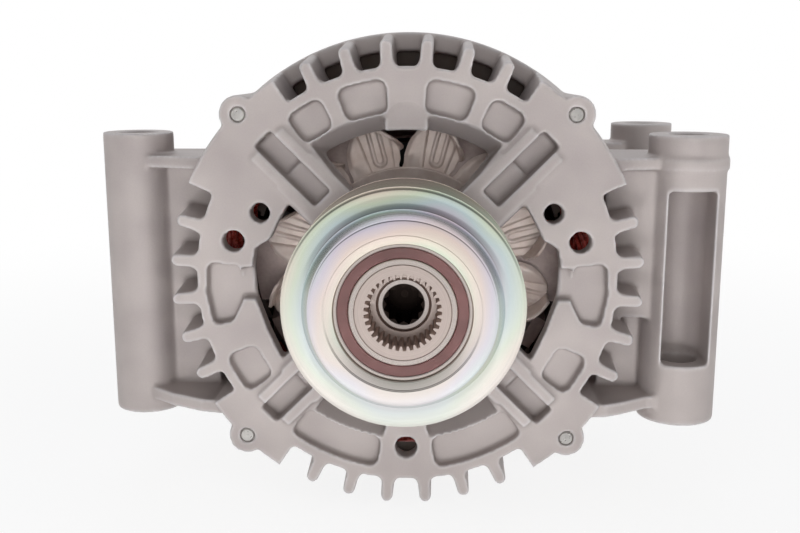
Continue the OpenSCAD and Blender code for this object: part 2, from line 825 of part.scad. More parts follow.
// A claw pole with its disc at y = 0 and its claws pointing to +Y
module claw_pole() {
    union() {
        slab(0, pole_t) intersection() {
            difference() {
                union() {
                    circle(31);
                    for (i = [0 : claw_count - 1]) rotate(i * 360 / claw_count)
                        translate([20, -claw_base_w / 2]) square([40, claw_base_w]);
                }
                circle(shaft_r);
            }
            circle(rotor_r);
        }
        ring(22, shaft_r, pole_t - 1, rotor_len / 2);
        intersection() {
            turned([
                [coil_r + 1, 1], [rotor_r, 1], [rotor_r, claw_reach], [rotor_r - 4.5, claw_reach],
                [coil_r + 1, pole_t + 3]
            ]);
            for (i = [0 : claw_count - 1]) spin(i * 360 / claw_count) rotate([0, 90, 0]) linear_extrude(70)
                polygon([
                    [-claw_base_w / 2, 0], [claw_base_w / 2, 0], [claw_base_w / 2, pole_t],
                    [claw_tip_w / 2, claw_reach + 1], [-claw_tip_w / 2, claw_reach + 1],
                    [-claw_base_w / 2, pole_t]
                ]);
        }
    }
}

module front_claw_pole() {
    color("#5d5a57") translate([0, rotor_front_y, 0]) claw_pole();
}

module rear_claw_pole() {
    color("#5d5a57") translate([0, rotor_back_y, 0]) spin(180 / claw_count) mirror([0, 1, 0]) claw_pole();
}

module field_coil() {
    color("#a4562e")
        ring(coil_r - 1, 24, rotor_front_y + pole_t + 1.6, rotor_back_y - pole_t - 1.6);
}

module coil_bobbin() {
    y0 = rotor_front_y + pole_t;
    y1 = rotor_back_y - pole_t;
    color("#3a3f3a") turned([
        [22.1, y0 + 0.1], [coil_r, y0 + 0.1], [coil_r, y0 + 1.6], [24, y0 + 1.6], [24, y1 - 1.6],
        [coil_r, y1 - 1.6], [coil_r, y1 - 0.1], [22.1, y1 - 0.1]
    ]);
}

// Fans. A slot between two blades is an arc from the rim inwards.
slot_arc_r = 18;
slot_out = polar(fan_r + 1, 4);
slot_in = polar(35, -10);
slot_mid = (slot_out + slot_in) / 2;
slot_half = norm(slot_out - slot_in) / 2;
slot_side = unit([slot_out[1] - slot_in[1], slot_in[0] - slot_out[0]]);
slot_centre = slot_mid + slot_side * sqrt(slot_arc_r * slot_arc_r - slot_half * slot_half);

module fan_arc(r0, r1) {
    intersection() {
        translate(slot_centre) difference() {
            circle(r1);
            circle(r0);
        }
        polygon([slot_in, slot_in - slot_side * 8, slot_out - slot_side * 8, slot_out]);
    }
}

module fan_sheet(count) {
    difference() {
        circle(fan_r);
        circle(shaft_r + 1);
        for (i = [0 : count - 1]) rotate(i * 360 / count) {
            fan_arc(slot_arc_r - 0.7, slot_arc_r + 0.7);
            translate(slot_in) circle(1.6);
        }
    }
}

module fan_rib() {
    difference() {
        union() {
            translate([38, 0]) circle(2.1);
            translate([38, -2.1]) square([8, 4.2]);
        }
        translate([38, 0]) circle(1.1);
        translate([38, -1.1]) square([9, 2.2]);
    }
}

module front_fan() {
    back = rotor_front_y;
    color("#c9c3bb") union() {
        slab(back - fan_t, back) fan_sheet(fan_blades);
        for (i = [0 : fan_blades - 1]) {
            slab(back - fan_t - 0.7, back - fan_t + 0.1) rotate((i - 0.55) * 360 / fan_blades) fan_rib();
            slab(back - fan_t - blade_h, back - fan_t + 0.1) rotate(i * 360 / fan_blades) intersection() {
                fan_arc(slot_arc_r + 0.7, slot_arc_r + 1.9);
                circle(fan_r - 0.4);
            }
        }
    }
}

rear_fan_blades = 10;

module rear_fan() {
    color("#b5afa8") union() {
        slab(rotor_back_y, rotor_back_y + fan_t) fan_sheet(rear_fan_blades);
        for (i = [0 : rear_fan_blades - 1])
            slab(rotor_back_y + fan_t - 0.1, rotor_back_y + fan_t + blade_h - 2)
                rotate(i * 360 / rear_fan_blades) intersection() {
                    fan_arc(slot_arc_r + 0.7, slot_arc_r + 1.9);
                    circle(fan_r - 0.4);
                }
    }
}

module slip_ring_body() {
    y0 = rear_hub_back_y + 0.5;
    y1 = shaft_back_y - 0.8;
    r0 = 6;
    r1 = slip_r - 0.4;
    r2 = slip_r - 1;
    color("#33302e") turned([
        [r0, y0], [r1, y0], [r1, slip_y[0]], [r2, slip_y[0]], [r2, slip_y[0] + slip_w],
        [r1, slip_y[0] + slip_w], [r1, slip_y[1]], [r2, slip_y[1]], [r2, slip_y[1] + slip_w],
        [r1, slip_y[1] + slip_w], [r1, y1], [r0, y1]
    ]);
}

module slip_rings() {
    color("#b8693c") for (y = slip_y) ring(slip_r, slip_r - 1, y, y + slip_w);
}

module front_spacer() {
    color("#9ea1a3") ring(front_pitch_r - race_gap, front_bore_r, hub_back_y, front_bearing_y);
}

// Pulley

race_in_r = hub_r + 1.7;
race_out_r = pulley_bore_r - 1.05;
pulley_ring_pitch_r = (race_in_r + race_out_r) / 2;
small_ball_r = 2.1;
race_ys = [hub_face_y, pulley_back_y - 1.2 - pulley_race_w];

module pulley_hub() {
    n = spline_teeth;
    step = 360 / n;
    tip = spline_r - spline_h;
    color("#8d9092") difference() {
        rod(hub_r, hub_face_y, hub_back_y);
        rod(thread_r, shaft_end_y - 1, hub_back_y + 1);
        rod(tip - 0.2, hub_face_y - 1, shaft_end_y - 0.4);
        slab(hub_face_y - 1, shaft_end_y - 0.4) polygon([
            for (i = [0 : n - 1]) each [
                polar(tip, (i - 0.36) * step), polar(spline_r, (i - 0.2) * step),
                polar(spline_r, (i + 0.2) * step), polar(tip, (i + 0.36) * step)
            ]
        ]);
    }
}

module pulley_inner_races() {
    color("#b9bcbe") for (y = race_ys) difference() {
        ring(race_in_r, hub_r, y, y + pulley_race_w);
        raceway(pulley_ring_pitch_r, small_ball_r, y + pulley_race_w / 2);
    }
}

module pulley_outer_races() {
    color("#c8cacb") for (y = race_ys) difference() {
        ring(pulley_bore_r, race_out_r, y, y + pulley_race_w);
        raceway(pulley_ring_pitch_r, small_ball_r, y + pulley_race_w / 2);
    }
}

pulley_ball_count = 18;

module pulley_balls() {
    color("#d5d8da") for (y = race_ys)
        balls(pulley_ring_pitch_r, small_ball_r, pulley_ball_count, y + pulley_race_w / 2);
}

module pulley_seals() {
    color("#7b5a5a") for (y = [race_ys[0] + 0.3, race_ys[1] + pulley_race_w - 1.1])
        ring(race_out_r, race_in_r + 0.1, y, y + 0.8);
}

clutch_y0 = race_ys[0] + pulley_race_w + 0.6;
clutch_y1 = race_ys[1] - 0.6;
roller_r = 1.5;
roller_count = 14;
roller_pitch_r = hub_r + roller_r + 0.04;

module clutch_ramp_ring() {
    n = roller_count;
    step = 360 / n;
    low = roller_pitch_r + roller_r + 0.1;
    color("#74777a") difference() {
        rod(pulley_bore_r, clutch_y0, clutch_y1);
        slab(clutch_y0 - 1, clutch_y1 + 1) polygon([
            for (i = [0 : n - 1]) each [
                polar(low + 0.15, (i - 0.5) * step), polar(low + 0.4, (i - 0.15) * step),
                polar(low + 0.9, (i + 0.2) * step), polar(low + 0.9, (i + 0.4) * step)
            ]
        ]);
    }
}

module clutch_rollers() {
    color("#d0d3d5") for (i = [0 : roller_count - 1]) spin(i * 360 / roller_count)
        translate([roller_pitch_r, 0, 0]) rod(roller_r, clutch_y0 + 0.5, clutch_y1 - 0.5);
}

module pulley_ring() {
    ff = flange_front_y;
    belt_y = ff + flange_t;
    back = pulley_back_y;
    color("#cfd1cd") turned(concat(
        [
            [pulley_bore_r, nose_y + 1.4], [21.5, nose_y], [nose_r - 0.8, nose_y], [nose_r, nose_y + 0.8],
            [nose_r, ff - 0.9], [nose_r + 0.3, ff], [nose_r + 1.1, ff + 0.5], [flange_r - 1.2, ff],
            [flange_r - 0.3, ff + 0.3], [flange_r, ff + 0.8], [flange_r, ff + flange_t - 0.3]
        ],
        [
            for (i = [0 : groove_count - 1])
                let (y = belt_y + i * groove_pitch)
                each [
                    [rib_r, y + 0.5], [rib_r - groove_depth, y + 1.5],
                    [rib_r - groove_depth, y + groove_pitch - 1.5], [rib_r, y + groove_pitch - 0.5]
                ]
        ],
        [
            [flange_r, back - flange_t + 0.3], [flange_r, back - 0.6], [flange_r - 0.6, back],
            [pulley_bore_r + 2, back], [pulley_bore_r + 0.6, back - 0.8], [pulley_bore_r, back - 0.8]
        ]
    ));
}

// Rectifier behind the rear bracket

neg_y = rear_face_y;
neg_t = 3;
pos_y = rear_face_y + 12;
pos_t = 3;
rect_r0 = 27;
rect_r1 = post_circle_r - 1;
diode_r = 6;
neg_angles = [170, 200, 230, 310, 340, 370];
pos_angles = [185, 215, 245, 295, 325, 355];
diode_circle_r = 44;
stud_at = polar(38, 200);
stud_shank_r = stud_r + 0.5;
stud_collar_r = stud_r + 2;
// The nut and the stud meet at the pitch radius of their threads
stud_pitch_r = stud_r - 0.4;
stud_seat_y = cover_back_y + 2.5;
stud_free_y = cover_back_y + 10;
stud_free_len = 10;

module rect_sector(a0, a1, r0, r1) {
    difference() {
        intersection() {
            circle(r1);
            polygon(concat([[0, 0]], [for (i = [0 : 6]) polar(r1 * 1.1, a0 + (a1 - a0) * i / 6)]));
        }
        circle(r0);
    }
}

module rectifier_negative_plate() {
    color("#b7b3ae") slab(neg_y, neg_y + neg_t) difference() {
        rect_sector(157, 383, rect_r0, rect_r1);
        for (a = neg_angles) rotate(a) translate([diode_circle_r, 0]) circle(diode_r);
        for (a = post_angles) rotate(a) translate([post_circle_r, 0]) circle(post_r + 1);
    }
}

module rectifier_positive_plate() {
    color("#c2beb8") slab(pos_y, pos_y + pos_t) difference() {
        rect_sector(172, 368, rect_r0 + 2, rect_r1 - 1);
        for (a = pos_angles) rotate(a) translate([diode_circle_r, 0]) circle(diode_r);
        for (a = post_angles) rotate(a) translate([post_circle_r, 0]) circle(post_r + 2);
        translate(stud_at) circle(stud_shank_r);
    }
}

module rectifier_diodes() {
    color("#8c8a86") {
        for (a = neg_angles) spin(a) translate([diode_circle_r, 0, 0]) {
            rod(diode_r, neg_y, neg_y + 4.6);
            rod(0.7, neg_y + 4.5, neg_y + 6);
        }
        for (a = pos_angles) spin(a) translate([diode_circle_r, 0, 0]) {
            rod(diode_r, pos_y - 1.6, pos_y + pos_t);
            rod(0.7, pos_y - 3, pos_y - 1.5);
        }
    }
}

module rectifier_terminal_board() {
    color("#2c2a29") {
        slab(neg_y + 6, neg_y + 9) difference() {
            rect_sector(165, 375, 31, 50);
            translate(stud_at) circle(stud_r + 2.4);
        }
        for (a = [177, 222, 270, 318, 363]) spin(a) translate([34, 0, 0]) rod(2.6, neg_y + neg_t, pos_y);
    }
}

module output_stud() {
    color("#c8a24a") translate([stud_at[0], 0, stud_at[1]]) {
        rod(stud_collar_r, pos_y - 2, pos_y);
        rod(stud_shank_r, pos_y - 1, pos_y + pos_t + 1);
        rod(stud_collar_r, pos_y + pos_t, stud_seat_y);
        rod(stud_pitch_r, stud_seat_y - 1, stud_free_y + 1);
        rod(stud_r, stud_free_y, stud_free_y + stud_free_len);
    }
}

module stud_insulator() {
    color("#1d1c1b") translate([stud_at[0], 0, stud_at[1]]) {
        ring(stud_r + 4, stud_collar_r, pos_y + pos_t, stud_seat_y);
        ring(stud_r + 6, stud_r + 3.9, cover_back_y, stud_seat_y);
    }
}

module stud_nut() {
    color("#cfcfca") translate([stud_at[0], 0, stud_at[1]]) difference() {
        union() {
            translate([0, stud_seat_y + 1, 0]) rotate([-90, 0, 0])
                cylinder(r = stud_r + 3.5, h = stud_free_y - 0.5 - stud_seat_y - 1, $fn = 6);
            rod(stud_r + 4.5, stud_seat_y, stud_seat_y + 1.1);
        }
        rod(stud_pitch_r + 0.01, cover_back_y, stud_free_y + 1);
    }
}

// Brush gear

brush_clear = 0.08;
holder_y0 = slip_y[0] - 3;
holder_y1 = slip_y[1] + slip_w + 2;
holder_low = slip_r + 3;
holder_top = 47;
shaft_top = 44;
holder_screw_z = 47.8;
brush_low = 7;
spring_low = brush_low + brush_len;
plug_x = 19;
plug_z = 38;
plug_w = 18;
plug_h = 12;
plug_y1 = cover_back_y + 8;

function brush_y(i) = slip_y[i] + slip_w / 2;

module brush_holder() {
    color("#242322") difference() {
        union() {
            translate([-8, holder_y0, holder_low]) cube([16, holder_y1 - holder_y0, holder_top - holder_low]);
            intersection() {
                translate([-26, rear_face_y, 29]) cube([52, holder_y0 - rear_face_y + 0.1, 23.2]);
                rod(cover_r - cover_wall - 1.5, rear_face_y - 1, holder_y0 + 1);
            }
            translate([plug_x - plug_w / 2, holder_y0, plug_z - plug_h / 2])
                cube([plug_w, plug_y1 - holder_y0, plug_h]);
            translate([6, holder_y0, plug_z - plug_h / 2]) cube([8, 12, plug_h - 4]);
        }
        for (i = [0, 1])
            translate([-brush_d / 2 - brush_clear, brush_y(i) - brush_w / 2 - brush_clear, holder_low - 1])
                cube([brush_d + 2 * brush_clear, brush_w + 2 * brush_clear, shaft_top - holder_low + 1]);
        translate([plug_x - plug_w / 2 + 1.8, plug_y1 - 14, plug_z - plug_h / 2 + 1.8])
            cube([plug_w - 3.6, 15, plug_h - 3.6]);
        for (x = [-20, 20]) translate([x, 0, holder_screw_z]) rod(2.1, rear_face_y - 1, holder_y0 + 1);
    }
    color("#c9b26b") for (s = [-1, 1])
        translate([plug_x + s * 3.5 - 1, plug_y1 - 14.5, plug_z - 0.4]) cube([2, 8, 0.8]);
}

module brush_holder_screws() {
    color("#b9b9b2") for (x = [-20, 20]) translate([x, 0, holder_screw_z]) {
        rod(1.88, rear_face_y - 5, holder_y0 + 0.2);
        rod(3.6, holder_y0 + 0.1, holder_y0 + 2.6);
    }
}

module brush(i) {
    color("#35322f") difference() {
        translate([-brush_d / 2, brush_y(i) - brush_w / 2, brush_low]) cube([brush_d, brush_w, brush_len]);
        rod(slip_r + 0.03, slip_y[0] - 5, slip_y[1] + 15);
    }
}

module brush_1() {
    brush(0);
}

module brush_2() {
    brush(1);
}

// A coil spring in compression, swept as one mesh
module brush_spring(i) {
    turns = 7;
    steps = 12;
    sides = 6;
    wire = 0.3;
    coil = 1.6;
    rise = shaft_top - spring_low - 2 * wire - 0.1;
    count = turns * steps;
    points = [
        for (k = [0 : count])
            for (j = [0 : sides - 1])
                let (a = k * 360 / steps, b = j * 360 / sides, r = coil + wire * cos(b))
                [r * cos(a), r * sin(a), spring_low + wire + 0.05 + rise * k / count + wire * sin(b)]
    ];
    walls = [
        for (k = [0 : count - 1])
            for (j = [0 : sides - 1])
                let (m = (j + 1) % sides)
                [k * sides + j, k * sides + m, (k + 1) * sides + m, (k + 1) * sides + j]
    ];
    ends = [[for (j = [sides - 1 : -1 : 0]) j], [for (j = [0 : sides - 1]) count * sides + j]];
    color("#b9bcc0") translate([0, brush_y(i), 0]) polyhedron(points, concat(walls, ends));
}

module brush_spring_1() {
    brush_spring(0);
}

module brush_spring_2() {
    brush_spring(1);
}

// Rear cover

module rear_cover() {
    y0 = rear_face_y;
    y1 = cover_back_y;
    w = cover_wall;
    color("#1c1b1b") difference() {
        turned([[0, y0], [cover_r, y0], [cover_r - 1, y1 - 4.5], [cover_r - 5, y1], [0, y1]]);
        turned([
            [0, y0 - 1], [cover_r - w, y0 - 1], [cover_r - w - 1, y1 - 5], [cover_r - w - 4, y1 - w],
            [0, y1 - w]
        ]);
        // vents in the rear face and in the rim
        for (a = [219 : 9 : 336]) spin(a) translate([24, y1 - w - 1, -1.5]) cube([27, w + 2, 3]);
        for (a = [100 : 9 : 172]) spin(a) translate([24, y1 - w - 1, -1.5]) cube([27, w + 2, 3]);
        for (a = [0 : 12 : 348]) spin(a) translate([cover_r - 8, y0 + 8, -2]) cube([12, 14, 4]);
        // holes for the stud, the plug and the screws
        translate([stud_at[0], 0, stud_at[1]]) rod(stud_r + 4, y1 - w - 1, y1 + 1);
        translate([plug_x - plug_w / 2 - 0.3, y1 - w - 1, plug_z - plug_h / 2 - 0.3])
            cube([plug_w + 0.6, w + 2, plug_h + 0.6]);
        for (a = post_angles) spin(a) translate([post_circle_r, 0, 0]) rod(2.4, y1 - w - 1, y1 + 1);
    }
}

module cover_screws() {
    color("#b9b9b2") for (a = post_angles) spin(a) translate([post_circle_r, 0, 0]) {
        rod(2.1, cover_back_y - cover_wall - 14, cover_back_y + 0.1);
        rod(4.6, cover_back_y, cover_back_y + 1);
        translate([0, cover_back_y + 0.9, 0]) rotate([-90, 0, 0]) cylinder(r = 4, h = 3.4, $fn = 6);
    }
}

drive_end_bracket();
slip_ring_end_bracket();
stator_core();
stator_winding();
through_bolts();
front_bearing_outer_ring();
front_bearing_shields();
bearing_retainer_plate();
retainer_screws();
rear_bearing_sleeve();
rear_bearing_outer_ring();
rectifier_negative_plate();
rectifier_positive_plate();
rectifier_diodes();
rectifier_terminal_board();
brush_holder();
brush_holder_screws();
brush_spring_1();
brush_spring_2();
output_stud();
stud_insulator();
stud_nut();
rear_cover();
cover_screws();
rotor_shaft();
front_claw_pole();
rear_claw_pole();
field_coil();
coil_bobbin();
front_fan();
rear_fan();
slip_ring_body();
slip_rings();
front_bearing_inner_ring();
rear_bearing_inner_ring();
front_spacer();
pulley_hub();
pulley_inner_races();
front_bearing_balls();
front_bearing_cage();
rear_bearing_balls();
rear_bearing_cage();
pulley_ring();
pulley_outer_races();
pulley_seals();
clutch_ramp_ring();
pulley_balls();
clutch_rollers();
brush_1();
brush_2();
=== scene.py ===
"""A vehicle alternator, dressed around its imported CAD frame."""

import json
import math

import bmesh
import bpy
from bpy.props import FloatProperty, FloatVectorProperty, IntProperty, PointerProperty
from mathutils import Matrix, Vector, noise


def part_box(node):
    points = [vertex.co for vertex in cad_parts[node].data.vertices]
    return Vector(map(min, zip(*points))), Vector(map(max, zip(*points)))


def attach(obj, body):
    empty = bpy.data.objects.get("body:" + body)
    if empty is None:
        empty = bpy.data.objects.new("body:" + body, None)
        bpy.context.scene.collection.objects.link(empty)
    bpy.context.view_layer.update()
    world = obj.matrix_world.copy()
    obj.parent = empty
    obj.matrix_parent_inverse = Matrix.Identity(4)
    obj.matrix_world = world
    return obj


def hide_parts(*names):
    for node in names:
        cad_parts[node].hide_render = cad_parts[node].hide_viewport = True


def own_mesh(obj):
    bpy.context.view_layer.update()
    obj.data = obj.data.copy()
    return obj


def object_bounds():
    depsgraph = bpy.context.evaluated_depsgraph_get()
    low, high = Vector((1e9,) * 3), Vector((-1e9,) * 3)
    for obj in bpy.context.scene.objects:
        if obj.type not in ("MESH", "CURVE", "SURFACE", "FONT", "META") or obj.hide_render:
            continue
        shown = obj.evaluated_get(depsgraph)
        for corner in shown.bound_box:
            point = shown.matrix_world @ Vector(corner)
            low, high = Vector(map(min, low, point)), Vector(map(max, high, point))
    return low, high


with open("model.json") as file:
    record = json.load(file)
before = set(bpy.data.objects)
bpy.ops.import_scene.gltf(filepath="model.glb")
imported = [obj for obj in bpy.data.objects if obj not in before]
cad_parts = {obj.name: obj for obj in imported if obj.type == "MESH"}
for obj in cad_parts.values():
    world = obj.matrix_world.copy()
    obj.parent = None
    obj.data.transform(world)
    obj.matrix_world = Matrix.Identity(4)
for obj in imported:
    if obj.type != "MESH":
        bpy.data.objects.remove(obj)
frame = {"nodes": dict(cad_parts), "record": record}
cad_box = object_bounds()

bl_info = {
    "name": "Alternator",
    "version": (1, 0, 0),
    "blender": (4, 5, 0),
    "location": "View3D > Sidebar > Alternator",
    "description": "Dresses the CAD frame of a vehicle alternator",
    "category": "Object",
}

MM = 0.001
WHITE = "FFFFFF"
BEHAVIOUR = frame["record"]["behaviour"]
BODY_OF = {node: body for body, nodes in BEHAVIOUR["bodies"].items() for node in nodes}


def linear(hex_code):
    """The linear RGBA of an sRGB hex value."""
    values = [int(hex_code[i : i + 2], 16) / 255 for i in (0, 2, 4)]
    return (*[v / 12.92 if v <= 0.04045 else ((v + 0.055) / 1.055) ** 2.4 for v in values], 1.0)


def add_node(tree, kind, settings=None, sockets=None):
    """Adds a node, sets its options, and sets or links its inputs."""
    made = tree.nodes.new(kind)
    for name, value in (settings or {}).items():
        setattr(made, name, value)
    for name, value in (sockets or {}).items():
        if isinstance(value, bpy.types.NodeSocket):
            tree.links.new(value, made.inputs[name])
        else:
            made.inputs[name].default_value = value
    return made


def per_mm(size):
    """The texture scale that gives a feature of this size in millimetres."""
    return 1.0 / (size * MM)


def blank(name):
    """A new material with its shader, and the object's own coordinates in metres."""
    made = bpy.data.materials.new(name)
    made.use_nodes = True
    tree = made.node_tree
    place = add_node(tree, "ShaderNodeTexCoord").outputs["Object"]
    return made, tree, tree.nodes["Principled BSDF"], place


# Pointiness is 0.5 on a flat face, more on an edge and less in a corner.
EDGE_STARTS, EDGE_FULL = 0.505, 0.56
CORNER_STARTS, CORNER_FULL = 0.495, 0.43
# A painted highlight on edges, and painted shade in corners at a share of the highlight's amount.
PAINTED_EDGE_HIGHLIGHT = "EEF0F4"
PAINTED_CORNER_SHADE = "6E6562"
CORNER_SHARE = 0.8

# Most of a noise texture lies between these two values.
NOISE_LOW, NOISE_HIGH = 0.3, 0.7
# A grained surface adds this share of its fine noise to its slow one. The sum lies in the range.
FINE_SHARE = 0.45
TONE_LOW, TONE_HIGH = 0.45, 1.0


def grained(name, pale, dark, metallic, rough, grain, depth, patch, edges=0.0, ior=1.5):
    """A surface with a fine grain, slow patches of tone, and, where edges is over 0, a painted
    highlight on its edges and painted shade in its corners.

    rough is the lowest and highest roughness, grain and patch are sizes in millimetres,
    and depth is the height of the grain in millimetres. metallic is under 1 on metal that
    scatters light much as paint does.
    """
    made, tree, shader, place = blank(name)
    fine = add_node(tree, "ShaderNodeTexNoise", None,
                    {"Vector": place, "Scale": per_mm(grain), "Detail": 3.0, "Roughness": 0.6})
    slow = add_node(tree, "ShaderNodeTexNoise", None,
                    {"Vector": place, "Scale": per_mm(patch), "Detail": 2.0})
    tone = add_node(tree, "ShaderNodeMath", {"operation": "MULTIPLY_ADD"},
                    {0: fine.outputs["Fac"], 1: FINE_SHARE, 2: slow.outputs["Fac"]})
    spread = add_node(tree, "ShaderNodeMapRange", None,
                      {"Value": tone.outputs[0], "From Min": TONE_LOW, "From Max": TONE_HIGH})
    colour = add_node(tree, "ShaderNodeMix", {"data_type": "RGBA"},
                      {0: spread.outputs[0], 6: linear(dark), 7: linear(pale)}).outputs[2]
    # Painted highlight on the edges and painted shade in the corners, found from the pointiness.
    if edges:
        shape = add_node(tree, "ShaderNodeNewGeometry").outputs["Pointiness"]
        edge = add_node(tree, "ShaderNodeMapRange", None,
                        {"Value": shape, "From Min": EDGE_STARTS, "From Max": EDGE_FULL,
                         "To Max": edges})
        colour = add_node(tree, "ShaderNodeMix", {"data_type": "RGBA"},
                          {0: edge.outputs[0], 6: colour, 7: linear(PAINTED_EDGE_HIGHLIGHT)}).outputs[2]
        corner = add_node(tree, "ShaderNodeMapRange", None,
                          {"Value": shape, "From Min": CORNER_STARTS, "From Max": CORNER_FULL,
                           "To Max": edges * CORNER_SHARE})
        colour = add_node(tree, "ShaderNodeMix", {"data_type": "RGBA"},
                          {0: corner.outputs[0], 6: colour, 7: linear(PAINTED_CORNER_SHADE)}).outputs[2]
    tree.links.new(colour, shader.inputs["Base Color"])
    shine = add_node(tree, "ShaderNodeMapRange", None,
                     {"Value": fine.outputs["Fac"], "From Min": NOISE_LOW, "From Max": NOISE_HIGH,
                      "To Min": rough[0], "To Max": rough[1]})
    tree.links.new(shine.outputs[0], shader.inputs["Roughness"])
    relief = add_node(tree, "ShaderNodeBump", None,
                      {"Height": fine.outputs["Fac"], "Strength": 1.0, "Distance": depth * MM})
    tree.links.new(relief.outputs[0], shader.inputs["Normal"])
    shader.inputs["Metallic"].default_value = metallic
    if metallic < 1.0:
        shader.inputs["IOR"].default_value = ior
    return made


TINT_BAND = 14
TINT_PATCH = 30
# Added to the bands so that their value stays above 0.
TINT_SHIFT = 3.0
# The tints are strongest at the top and weakest at the bottom.
TINT_BOTTOM_Z, TINT_TOP_Z = -35 * MM, 35 * MM
TINT_WEAKEST, TINT_STRONGEST = 0.3, 0.9
# Width in millimetres of the soft edge of the painted shade inside the core radius.
PAINTED_SHADE_BLUR = 0.1


def turned(name, pale, dark, rough, pitch, tints=(), core=None):
    """Bright metal from a lathe: fine rings round the Y axis, and bands of plating tint.

    Real feed marks of 0.1 to 0.2 mm are too fine to show, so their pitch is drawn coarser.
    pitch is in millimetres, and core is a radius in millimetres and a colour painted inside it as
    shade.
    """
    made, tree, shader, place = blank(name)
    parts = add_node(tree, "ShaderNodeSeparateXYZ", None, {0: place})
    around = add_node(tree, "ShaderNodeCombineXYZ", None,
                      {0: parts.outputs[0], 1: parts.outputs[2]})
    radius = add_node(tree, "ShaderNodeVectorMath", {"operation": "LENGTH"},
                      {0: around.outputs[0]}).outputs["Value"]
    section = add_node(tree, "ShaderNodeCombineXYZ", None, {0: radius, 1: parts.outputs[1]})
    rings = add_node(tree, "ShaderNodeTexNoise", None,
                     {"Vector": section.outputs[0], "Scale": per_mm(pitch), "Detail": 2.0})
    colour = add_node(tree, "ShaderNodeMix", {"data_type": "RGBA"},
                      {0: rings.outputs["Fac"], 6: linear(dark), 7: linear(pale)}).outputs[2]
    if tints:
        slow = add_node(tree, "ShaderNodeTexNoise", None,
                        {"Vector": place, "Scale": per_mm(TINT_PATCH), "Detail": 1.0})
        shift = add_node(tree, "ShaderNodeMath", {"operation": "ADD"},
                         {0: slow.outputs["Fac"], 1: TINT_SHIFT})
        band = add_node(tree, "ShaderNodeMath", {"operation": "MULTIPLY_ADD"},
                        {0: radius, 1: -per_mm(TINT_BAND), 2: shift.outputs[0]})
        fold = add_node(tree, "ShaderNodeMath", {"operation": "FRACT"}, {0: band.outputs[0]})
        ramp = add_node(tree, "ShaderNodeValToRGB", None, {0: fold.outputs[0]})
        stops = ramp.color_ramp.elements
        while len(stops) < len(tints):
            stops.new(0.5)
        for i, tint in enumerate(tints):
            stops[i].position = i / (len(tints) - 1)
            stops[i].color = linear(tint)
        tint_by_height = add_node(tree, "ShaderNodeMapRange", None,
                        {"Value": parts.outputs[2], "From Min": TINT_BOTTOM_Z, "From Max": TINT_TOP_Z,
                         "To Min": TINT_WEAKEST, "To Max": TINT_STRONGEST})
        colour = add_node(tree, "ShaderNodeMix", {"data_type": "RGBA", "blend_type": "MULTIPLY"},
                          {0: tint_by_height.outputs[0], 6: colour, 7: ramp.outputs[0]}).outputs[2]
    # Painted shade inside the core radius, where the socket is a dark hole.
    if core:
        core_r, painted_shade_colour = core
        inside = add_node(tree, "ShaderNodeMapRange", None,
                          {"Value": radius, "From Min": (core_r + PAINTED_SHADE_BLUR) * MM,
                           "From Max": (core_r - PAINTED_SHADE_BLUR) * MM})
        colour = add_node(tree, "ShaderNodeMix", {"data_type": "RGBA"},
                          {0: inside.outputs[0], 6: colour, 7: linear(painted_shade_colour)}).outputs[2]
    tree.links.new(colour, shader.inputs["Base Color"])
    shine = add_node(tree, "ShaderNodeMapRange", None,
                     {"Value": rings.outputs["Fac"], "From Min": NOISE_LOW, "From Max": NOISE_HIGH,
                      "To Min": rough[0], "To Max": rough[1]})
    tree.links.new(shine.outputs[0], shader.inputs["Roughness"])
    relief = add_node(tree, "ShaderNodeBump", None,
                      {"Height": rings.outputs["Fac"], "Strength": 0.6, "Distance": 0.01 * MM})
    tree.links.new(relief.outputs[0], shader.inputs["Normal"])
    shader.inputs["Metallic"].default_value = 1.0
    return made


SHEET_PITCH = 1.0
RUST_PATCH = 5


def laminated(name):
    """Stacked electrical steel: sheets of 0.5 mm, drawn 1 mm apart so that they show."""
    made, tree, shader, place = blank(name)
    sheets = add_node(tree, "ShaderNodeTexWave", {"bands_direction": "Y"},
                      {"Vector": place, "Scale": per_mm(SHEET_PITCH) / math.tau,
                       "Distortion": 0.3, "Detail": 1.0})
    rust = add_node(tree, "ShaderNodeTexNoise", None,
                    {"Vector": place, "Scale": per_mm(RUST_PATCH), "Detail": 3.0})
    steel = add_node(tree, "ShaderNodeMix", {"data_type": "RGBA"},
                     {0: sheets.outputs["Fac"], 6: linear("4A4644"), 7: linear("8B8683")})
    varnish = add_node(tree, "ShaderNodeMix", {"data_type": "RGBA"},
                       {0: rust.outputs["Fac"], 6: steel.outputs[2], 7: linear("6A5A50")})
    tree.links.new(varnish.outputs[2], shader.inputs["Base Color"])
    relief = add_node(tree, "ShaderNodeBump", None,
                      {"Height": sheets.outputs["Fac"], "Strength": 0.8, "Distance": 0.08 * MM})
    tree.links.new(relief.outputs[0], shader.inputs["Normal"])
    shader.inputs["Metallic"].default_value = 0.8
    shader.inputs["Roughness"].default_value = 0.5
    return made


FINISHES = {}


